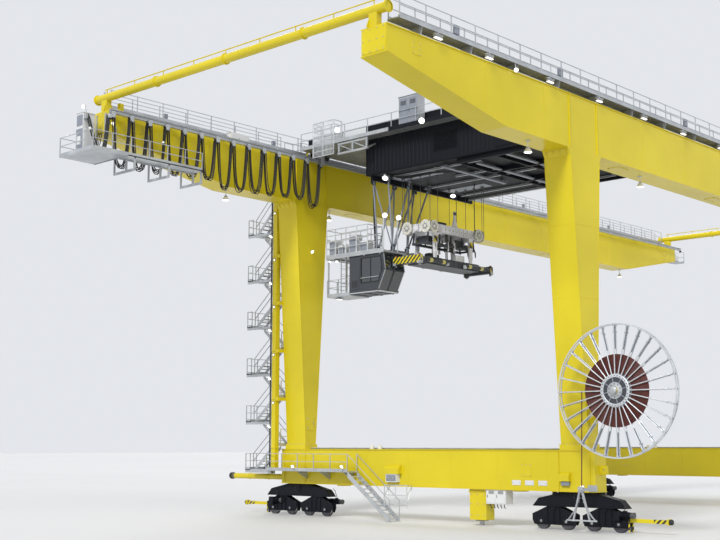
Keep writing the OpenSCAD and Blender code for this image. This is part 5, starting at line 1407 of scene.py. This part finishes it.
    # Pale guard frames and boxes at the left half of the roof deck
    for x in (-8.77, -8.05):
        for y in (2.44, 2.93, 3.42, 3.91, 4.32):
            p.rod((x, y, 8.65), (x, y, 9.56), 0.017, BRIGHT, 8)
        for z in (8.92, 9.14, 9.35, 9.56):
            p.rod((x, 2.44, z), (x, 4.32, z), 0.014, BRIGHT, 8)
    for z, y in product((8.92, 9.24, 9.56), (2.44, 4.32)):
        p.rod((-8.77, y, z), (-8.05, y, z), 0.014, BRIGHT, 8)
    for y0, y1, z1 in ((2.5, 2.86, 9.05), (3.0, 3.36, 9.3), (3.5, 3.85, 9.0), (3.95, 4.28, 9.22)):
        p.box((-8.7, y0, 8.64), (-8.4, y1, z1), WHITE, 0.012)
        p.box((-8.708, y0 + 0.04, 8.7), (-8.699, y1 - 0.04, z1 - 0.06), MID, 0.003)
    # Guard hoops of the ladder
    for k in range(4):
        z = 7.7 + k * 0.26
        p.pipe([(-8.66, 3.5, z), (-8.55, 3.47, z), (-8.42, 3.52, z), (-8.38, 3.61, z),
            (-8.42, 3.7, z), (-8.55, 3.75, z), (-8.66, 3.72, z)], 0.007, GALV, 6)
    for x, y, z, aim in ((-8.74, 4.2, 8.48, (-0.5, 0, -1)), (-7.9, 3.9, 8.5, (0, 0, -1)),
            (-8.7, 3.9, 8.46, (-0.5, 0, -1))):
        lamp(p, x, y, z, aim, 0.05)
    p.done("trolley")


# Head block and spreader

def sheave(p, c, axis):
    """A cast sheave with its groove, ribs and bearing cap."""
    a = Vector(axis)
    p.lathe(c, a, [(0.036, 0.028), (0.06, 0.028), (0.064, 0.015), (0.145, 0.015), (0.152, 0.0262),
        (0.2, 0.0262), (0.2112, 0.024), (0.2112, 0.0165), (0.1955, 0.008), (0.1945, 0),
        (0.1955, -0.008), (0.2112, -0.0165), (0.2112, -0.024), (0.2, -0.0262), (0.1, -0.0262)],
        CREAM, 40)
    u = a.orthogonal().normalized()
    v = a.cross(u)
    for k in range(6):
        t = k * pi / 3
        d = u * cos(t) + v * sin(t)
        p.bar(c + a * 0.018 + d * 0.06, c + a * 0.018 + d * 0.148, 0.014, 0.014, CREAM)
        p.rod(c + a * 0.0152 + (u * cos(t + 0.52) + v * sin(t + 0.52)) * 0.118,
            c + a * 0.0162 + (u * cos(t + 0.52) + v * sin(t + 0.52)) * 0.118, 0.018, MID, 14)
    p.lathe(c, a, [(0.062, 0.0285), (0.062, 0.0305), (0.088, 0.0305), (0.088, 0.0165)], MID, 32)
    p.lathe(c, a, [(0.0, 0.052), (0.03, 0.052), (0.046, 0.046), (0.046, 0.026)], CREAM, 24)


def head_block_details():
    p = Shape("head_block_dress", HOIST)
    z = SHEAVE_Z
    for sx, sy in CORNERS:
        sheave(p, Vector((sx * END_X, sy * END_Y, z)), (sx, 0, 0))
        sheave(p, Vector((sx * SIDE_X, sy * SIDE_Y, z)), (0, sy, 0))
        # Rope guards round the sheaves
        for (c, d), t in product(((Vector((sx * 1.488, sy * 0.39, z)), Vector((0, 1, 0))),
                (Vector((sx * 1.2, sy * 0.59, z)), Vector((1, 0, 0)))), (0.8, 2.34, 3.93, 5.5)):
            q = c + d * 0.222 * cos(t) + Vector((0, 0, 0.222 * sin(t)))
            n = Vector((sx, 0, 0)) if abs(d.y) > 0.5 else Vector((0, sy, 0))
            p.rod(q - n * 0.07, q, 0.009, DARK, 6)
    # Flanges along the ring's edges and stiffeners between them
    for s in SIDES:
        for zz in (9.262, 9.518):
            p.slab((-1.41, 1.41), about(s * 0.5, 0.03), about(zz, 0.008), PALE)
            p.slab(about(s * 1.39, 0.02), (-0.5, 0.5), about(zz, 0.008), PALE)
        for i in range(-4, 5):
            x = i * 0.21
            p.slab(about(x, 0.006), (s * 0.5 - 0.002, s * 0.526), (9.27, 9.51), PALE)
            p.bolts([(x + 0.1, s * 0.502, 9.39)], (0, s, 0), DARK, 0.014)
        # Hangers: pin bosses and striped guards
        for sx in SIDES:
            for f in SIDES:
                c = Vector((sx * 0.95, s * 0.38 + f * 0.035, 8.62))
                p.lathe(c, (0, f, 0), [(0.0, 0.03), (0.04, 0.03), (0.045, 0.015), (0.075, 0.012),
                    (0.078, 0)], PALE, 24)
            p.slab(about(sx * 0.95, 0.09), about(s * 0.38, 0.04), (8.95, 9.15), HAZARD_X, 0.004)
    # Cap of the trestle and its pulley
    p.box((-0.03, -0.49, 10.05), (0.05, -0.41, 10.08), PALE, 0.006)
    p.lathe((0.01, -0.45, 10.0), (0, -1, 0), [(0.0, 0.045), (0.03, 0.045), (0.06, 0.04),
        (0.052, 0.03), (0.06, 0.0), (0.0, 0.0)], DARK, 24)
    # Junction boxes, a drive unit and its hoses on the ring
    p.box((-0.36, -0.38, 9.44), (0.34, 0.38, 9.452), GRATING)
    p.box((-0.3, -0.05, 9.45), (0.1, 0.33, 9.75), GREY, 0.02)
    p.box((0.14, -0.05, 9.45), (0.3, 0.25, 9.62), WHITE, 0.012)
    p.rod((-0.2, -0.2, 9.53), (0.16, -0.2, 9.53), 0.07, NAVY, 20)
    for k in range(8):
        p.lathe((-0.16 + k * 0.035, -0.2, 9.53), (1, 0, 0), collar(0.069, 0.004, 0.08, 0.003), NAVY,
            18)
    for k in range(3):
        x = -0.26 + k * 0.05
        p.pipe([(x, -0.05, 9.6), (x, -0.15, 9.62), (x - 0.05, -0.3, 9.5), (x - 0.08, -0.34, 9.3),
            (x - 0.08, -0.34, 9.0), (x - 0.04, -0.3, 8.6), (x, -0.28, 8.42)], 0.012, RUBBER, 6)
    # Dark frame, pale fork and boxes that hang between the head block and the spreader
    for sy in SIDES:
        p.slab((-1.28, 1.28), about(sy * 0.3, 0.04), (8.86, 8.94), GREY, 0.006)
        for x in (-1.25, -0.62, 0.0, 0.62, 1.25):
            p.bar((x, sy * 0.3, 8.94), (x * 0.96, sy * 0.3, 9.26), 0.04, 0.04, GREY)
    for x in (-1.24, -0.3, 0.3, 1.24):
        p.slab(about(x, 0.035), (-0.3, 0.3), (8.87, 8.93), GREY, 0.004)
    for x in (-0.22, 0.12):
        p.plate([(x, y, z) for y, z in ((-0.36, 8.72), (-0.36, 9.05), (-0.22, 9.2), (0.22, 9.2),
            (0.36, 9.05), (0.36, 8.72), (0.28, 8.72), (0.28, 9.0), (0.18, 9.1), (-0.18, 9.1),
            (-0.28, 9.0), (-0.28, 8.72))], (0.03, 0, 0), PALE)
    for x0, x1, z0, z1, kind in ((-1.15, -0.82, 8.94, 9.16, GREY), (-0.7, -0.42, 8.94, 9.1, WHITE),
            (0.35, 0.78, 8.94, 9.18, GREY), (0.9, 1.14, 8.94, 9.08, MID)):
        p.box((x0, -0.24, z0), (x1, 0.2, z1), kind, 0.012)
    for k in range(6):
        x = -1.05 + k * 0.42
        p.pipe([(x, -0.3, 9.1), (x + 0.03, -0.4, 9.0), (x + 0.1, -0.42, 8.8),
            (x + 0.2, -0.36, 8.66), (x + 0.3, -0.3, 8.72), (x + 0.32, -0.28, 8.88)], 0.013, RUBBER,
            6)
    # Cover plates between the end sheaves, and three small lamps
    for s in SIDES:
        p.box((s * 1.47, -0.085, 9.3), (s * 1.478, 0.085, 9.5), PALE, 0.003)
        p.bolts([(s * 1.478, a, zz) for a in (-0.06, 0.06) for zz in (9.33, 9.47)], (s, 0, 0), DARK,
            0.011)
    for x, y in ((-1.3, -0.45), (1.3, -0.45), (-1.3, 0.45)):
        lamp(p, x, y, 9.56, (x, y, 0.3), 0.05)
    p.done("hoist")


def spreader_details():
    p = Shape("spreader_dress", HOIST)
    for s in SIDES:
        y = s * 0.41
        # Side plates with stiffeners, flange strips and pockets
        for z in (8.19, 8.412):
            p.slab((-1.2, 1.2), (y - 0.012, y + s * 0.012), about(z, 0.006), GREY)
        for i in range(-4, 5):
            x = i * 0.25
            p.slab(about(x, 0.005), (y, y + s * 0.022), (8.19, 8.41), GREY)
        for x in (-1.362, 1.362):
            p.slab(about(x, 0.012), (y - s * 0.012, y + s * 0.006), (8.18, 8.42), GREY)
        # Cylinders that push the beams out
        p.rod((-0.9 * s, s * 0.06, 8.47), (0.35 * s, s * 0.06, 8.47), 0.035, GREY, 16)
        p.rod((0.35 * s, s * 0.06, 8.47), (1.3 * s, s * 0.06, 8.47), 0.018, STEEL, 12)
        for x in (-0.92, 0.33, 1.3):
            p.slab(about(x * s, 0.03), about(s * 0.06, 0.03), (8.42, 8.51), DARK, 0.006)
    # Power pack, tank, valves and hoses on the frame
    p.box((-0.62, 0.12, 8.42), (-0.1, 0.36, 8.66), GREY, 0.02)
    p.box((-0.58, 0.15, 8.66), (-0.4, 0.33, 8.68), DARK, 0.006)
    p.rod((0.02, 0.24, 8.5), (0.34, 0.24, 8.5), 0.06, NAVY, 20)
    p.box((0.42, 0.15, 8.42), (0.62, 0.33, 8.56), STEEL, 0.01)
    p.box((0.2, -0.36, 8.42), (0.66, -0.16, 8.64), WHITE, 0.014)
    r = bpy.context.scene.crane_sizes.hose_r
    for k in range(4):
        p.pipe([(0.44 + k * 0.04, 0.15, 8.5), (0.5 + k * 0.04, 0.05, 8.52),
            (0.75, -0.02 - k * 0.02, 8.45 + k * 0.015), (1.0, -0.02 - k * 0.02, 8.44),
            (1.3, -0.06 - k * 0.02, 8.44)], r, RUBBER, 6)
    for x in (-1.2, -0.7, 0.8, 1.2):
        p.slab(about(x, 0.09), (-0.4, 0.4), (8.42, 8.428), GREY, 0.002)
        p.bolts([(x + a, b, 8.428) for a in (-0.06, 0.06) for b in (-0.36, 0.36)], (0, 0, 1), GALV,
            0.013)
    p.done("hoist")
    for s, body in ((-1, "spreader_end_near"), (1, "spreader_end_far")):
        q = Shape(body + "_dress", HOIST)
        x1, x0 = s * 1.95, s * 1.80
        # Striped cover plates on the end beam
        q.box((x1 - s * 0.001, -0.572, 8.165), (x1 + s * 0.006, 0.572, 8.395), HAZARD, 0.002)
        q.box((x0, -0.57, 8.399), (x1, 0.57, 8.404), HAZARD, 0.002)
        for e in SIDES:
            q.box((x0 + s * 0.002, e * 0.574, 8.165), (x1 - s * 0.002, e * 0.579, 8.395), HAZARD_X,
                0.002)
            # Twistlock with its housing, handle and landing pin
            c = Vector((x1 - s * 0.06, e * 0.515, 8.12))
            q.lathe(c, (0, 0, 1), [(0.0, 0.284), (0.03, 0.284), (0.035, 0.3), (0.05, 0.3),
                (0.052, 0.284)], DARK, 20)
            q.box(c + Vector((-0.012, -0.035, 0.3)), c + Vector((0.012, 0.035, 0.325)), "red_paint",
                0.004)
            q.box(c + Vector((-0.03, -0.045, -0.045)), c + Vector((0.03, 0.045, 0.0)), STEEL, 0.012)
            # Corner guide that flares down and out
            for f in SIDES:
                a = Vector((x1 - s * (0.06 + f * 0.045), e * 0.582, 8.36))
                q.bar(a, a + Vector((0, 0, -0.2)), 0.012, 0.02, GALV)
            q.box((x1 - s * 0.13, e * 0.58, 8.12), (x1 + s * 0.008, e * 0.59, 8.22), GALV, 0.003)
            q.box((x1, e * 0.45, 8.12), (x1 + s * 0.012, e * 0.57, 8.2), GALV, 0.003)
        q.bolts([(x1 + s * 0.006, yy, zz) for yy in (-0.24, -0.12, 0.12, 0.24)
            for zz in (8.2, 8.36)], (s, 0, 0), GALV, 0.012)
        q.done(body)
    for s, body in ((-1, "arms_near"), (1, "arms_far")):
        q = Shape(body + "_dress", HOIST)
        for e in SIDES:
            y, z, px = e * 0.515, 8.28, s * 1.73
            # Pivot caps, collars, and the foot at the free end
            q.lathe((px, y, z), (0, e, 0), [(0.031, 0.0605), (0.052, 0.061), (0.055, 0.0602)], DARK,
                24)
            q.rod((px - s * 0.16, y, z), (px - s * 1.14, y, z), 0.066, GREY, 28)
            for t in (0.3, 0.95):
                q.rod((px - s * t, y, z), (px - s * (t + 0.15), y, z), 0.0675, "arm_bands", 28)
            for t in (0.16, 0.5, 0.82, 1.13):
                q.lathe((px - s * t, y, z), (1, 0, 0), collar(0.055, 0.02, 0.071, 0.016), GREY, 28)
            q.slab((px - s * 1.2, px - s * 1.31), about(y, 0.045), (z - 0.09, z + 0.03), GALV, 0.01)
            q.box((px - s * 1.18, y - e * 0.06, z - 0.075), (px - s * 1.3, y - e * 0.035, z - 0.02),
                RUBBER, 0.006)
            q.rod((px - s * 0.2, y, z + 0.074), (px - s * 1.0, y, z + 0.074), 0.008, RUBBER, 6)
        q.done(body)


def falls():
    """The places of the sixteen falls, seen from the hoist's own place."""
    for sx, sy, k in product(SIDES, SIDES, SIDES):
        yield sx * END_X, sy * END_Y + k * FALL
        yield sx * SIDE_X + k * FALL, sy * SIDE_Y


def rope_sockets():
    """Wedge sockets where the ropes enter the house."""
    p = Shape("rope_entries", HOIST)
    for x, y in falls():
        p.lathe((x, y, HZ0), (0, 0, -1), [(0.05, 0), (0.05, 0.02), (0.03, 0.03), (0.022, 0.08),
            (0.012, 0.085)], DARK, 14)
    p.done("trolley")


def hoist_ropes():
    """The sixteen falls between the house and the sheaves; they lengthen as the hoist goes down."""
    p = Shape("hoist_falls", HOIST)
    for x, y in falls():
        p.rod((x, y, SHEAVE_Z), (x, y, HZ0), 0.008, "wire_rope", 8)
    obj = p.done(ride=False)
    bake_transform(obj)
    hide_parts("hoist_ropes")


def cabinet_details():
    p = Shape("cabinet_details")
    # Electric box beside the sill: doors, grips, louvres, roof and cables
    for y in (-3.13, -2.8):
        p.box((-9.022, y, 0.67), (-9.008, y + 0.33, 1.03), WHITE, 0.005)
        p.rod((-9.03, y + 0.29, 0.82), (-9.03, y + 0.29, 0.9), 0.007, DARK, 8)
        for k in range(5):
            p.box((-9.026, y + 0.06, 0.93 + k * 0.018), (-9.02, y + 0.25, 0.938 + k * 0.018), GREY)
    p.box((-9.03, -3.17, 1.02), (-8.99, -2.43, 1.045), WHITE, 0.005)
    for k in range(5):
        y = -3.05 + k * 0.12
        p.pipe([(-8.95, y, 0.65), (-8.95, y, 0.57), (-8.9, y, 0.52), (-8.8, y + 0.1, 0.55),
            (-8.7, y + 0.2, 0.75), (-8.68, y + 0.2, 1.05)], 0.012, RUBBER, 6)
    p.done()


# The stage

# Solved from the photo: place, then turns about the level axis and the upright one, in degrees
CAMERA_AT, CAMERA_TURN = (-37.552, -23.816, 2.347), (90 + 8.29, 42.735 - 90)
LENS_MM, SENSOR_MM, FAR = 59.853, 36, 600
FLOOR_HALF, FLOOR_DEEP = 260, 0.05
# Name, energy, turn in degrees and angle of each sun lamp
SUNS = (("key", 2.1, (52, 0, -74), 16), ("fill", 0.7, (60, 0, -10), 40),
    ("rim", 0.8, (55, 0, 130), 30))
BACKDROP, BACK_LEVEL, SEEN_LEVEL = (0.86, 0.88, 0.92, 1), 0.55, 0.9


def studio():
    """The camera, a pale floor, three soft suns and a pale backdrop."""
    scene = bpy.context.scene
    scene.view_settings.view_transform = "Standard"
    data = bpy.data.cameras.new("camera")
    data.sensor_width, data.lens, data.clip_end = SENSOR_MM, LENS_MM, FAR
    cam = bpy.data.objects.new("camera", data)
    cam.location = CAMERA_AT
    cam.rotation_euler = (radians(CAMERA_TURN[0]), 0, radians(CAMERA_TURN[1]))
    scene.collection.objects.link(cam)
    scene.camera = cam
    floor = Shape("floor")
    floor.box((-FLOOR_HALF, -FLOOR_HALF, -FLOOR_DEEP), (FLOOR_HALF, FLOOR_HALF, 0), "studio_floor")
    floor.done(ride=False)
    for name, energy, turn, angle in SUNS:
        light = bpy.data.lights.new(name, "SUN")
        light.energy, light.angle = energy, radians(angle)
        obj = bpy.data.objects.new(name, light)
        obj.rotation_euler = [radians(a) for a in turn]
        scene.collection.objects.link(obj)
    world = bpy.data.worlds.new("studio")
    scene.world = world
    world.use_nodes = True
    tree = world.node_tree
    back = tree.nodes["Background"]
    back.inputs[0].default_value = BACKDROP
    path = tree.nodes.new("ShaderNodeLightPath")
    seen = tree.nodes.new("ShaderNodeMath")
    seen.operation = "MAXIMUM"
    also = tree.nodes.new("ShaderNodeMath")
    also.operation = "MAXIMUM"
    tree.links.new(path.outputs["Is Camera Ray"], seen.inputs[0])
    tree.links.new(path.outputs["Is Glossy Ray"], seen.inputs[1])
    tree.links.new(seen.outputs[0], also.inputs[0])
    tree.links.new(path.outputs["Is Transmission Ray"], also.inputs[1])
    level = tree.nodes.new("ShaderNodeMapRange")
    level.inputs["To Min"].default_value = BACK_LEVEL
    level.inputs["To Max"].default_value = SEEN_LEVEL
    tree.links.new(also.outputs[0], level.inputs["Value"])
    tree.links.new(level.outputs[0], back.inputs[1])


# Operators

OPERATORS = []


def operator(idname, label, text, *steps):
    """An operator that runs these steps; a step that fails raises."""
    def execute(self, context):
        for step in steps:
            step()
        return {"FINISHED"}
    kind = type("CRANE_OT_" + idname, (bpy.types.Operator,), {"bl_idname": "crane." + idname,
        "bl_label": label, "__doc__": text, "execute": execute})
    OPERATORS.append(kind)


operator("stage", "Stage", "Camera, floor and studio light.", studio)
operator("festoon", "Festoon cables", "Hanging cables and their carriers.", festoon)
operator("coat", "Finishes of the frame", "Paint, zinc and steel on the packed nodes.", coat_nodes)
operator("girders", "Girders and legs", "Welds, covers, bolts, conduits and the end ties.",
    girder_fittings, leg_fittings, sill_fittings, tie_fittings, cabinet_details)
operator("walkways", "Walkways and lamps", "Trays, brackets, boxes, lamps and galleries.",
    walkway_details, lamps, gallery_details)
operator("stairs", "Stair tower", "Gratings, treads, lamps and the sill's platform.", stair_details)
operator("bogies", "Bogies and wheels", "Drives, caps, sweepers, wheel faces and buffers.",
    bogie_details, wheel_details, buffer_details)
operator("reel", "Cable reel", "Double spokes, rims, turns, drive and guide rollers.", reel_wheel,
    reel_drive)
operator("trolley", "Trolley", "Machinery house, carriages, deck and lattice.", machinery_house,
    trolley_fittings, hanger_details)
operator("cab", "Operator's cab", "Glass, frames, door, lamps and platforms.", cab_details)
operator("hoist", "Head block and spreader", "Sheaves, hangers, beams, twistlocks and arms.",
    head_block_details, spreader_details, rope_sockets, hoist_ropes)


class CRANE_PT_panel(bpy.types.Panel):
    """Lists the crane's pieces, sizes and finishes."""
    bl_idname, bl_label = "CRANE_PT_panel", "Gantry Crane"
    bl_space_type, bl_region_type, bl_category = "VIEW_3D", "UI", "Crane"

    def draw(self, context):
        for group in (context.scene.crane_finishes, context.scene.crane_sizes):
            for name in group.__annotations__:
                self.layout.prop(group, name)
        for kind in OPERATORS:
            self.layout.operator(kind.bl_idname)


CLASSES = [CraneFinishes, CraneSizes, *OPERATORS, CRANE_PT_panel]


def register():
    for kind in CLASSES:
        bpy.utils.register_class(kind)
    bpy.types.Scene.crane_finishes = bpy.props.PointerProperty(type=CraneFinishes)
    bpy.types.Scene.crane_sizes = bpy.props.PointerProperty(type=CraneSizes)


def unregister():
    del bpy.types.Scene.crane_finishes, bpy.types.Scene.crane_sizes
    for kind in reversed(CLASSES):
        bpy.utils.unregister_class(kind)


def main():
    register()
    for kind in OPERATORS:
        group, name = kind.bl_idname.split(".")
        getattr(getattr(bpy.ops, group), name)()


if __name__ == "__main__":
    main()
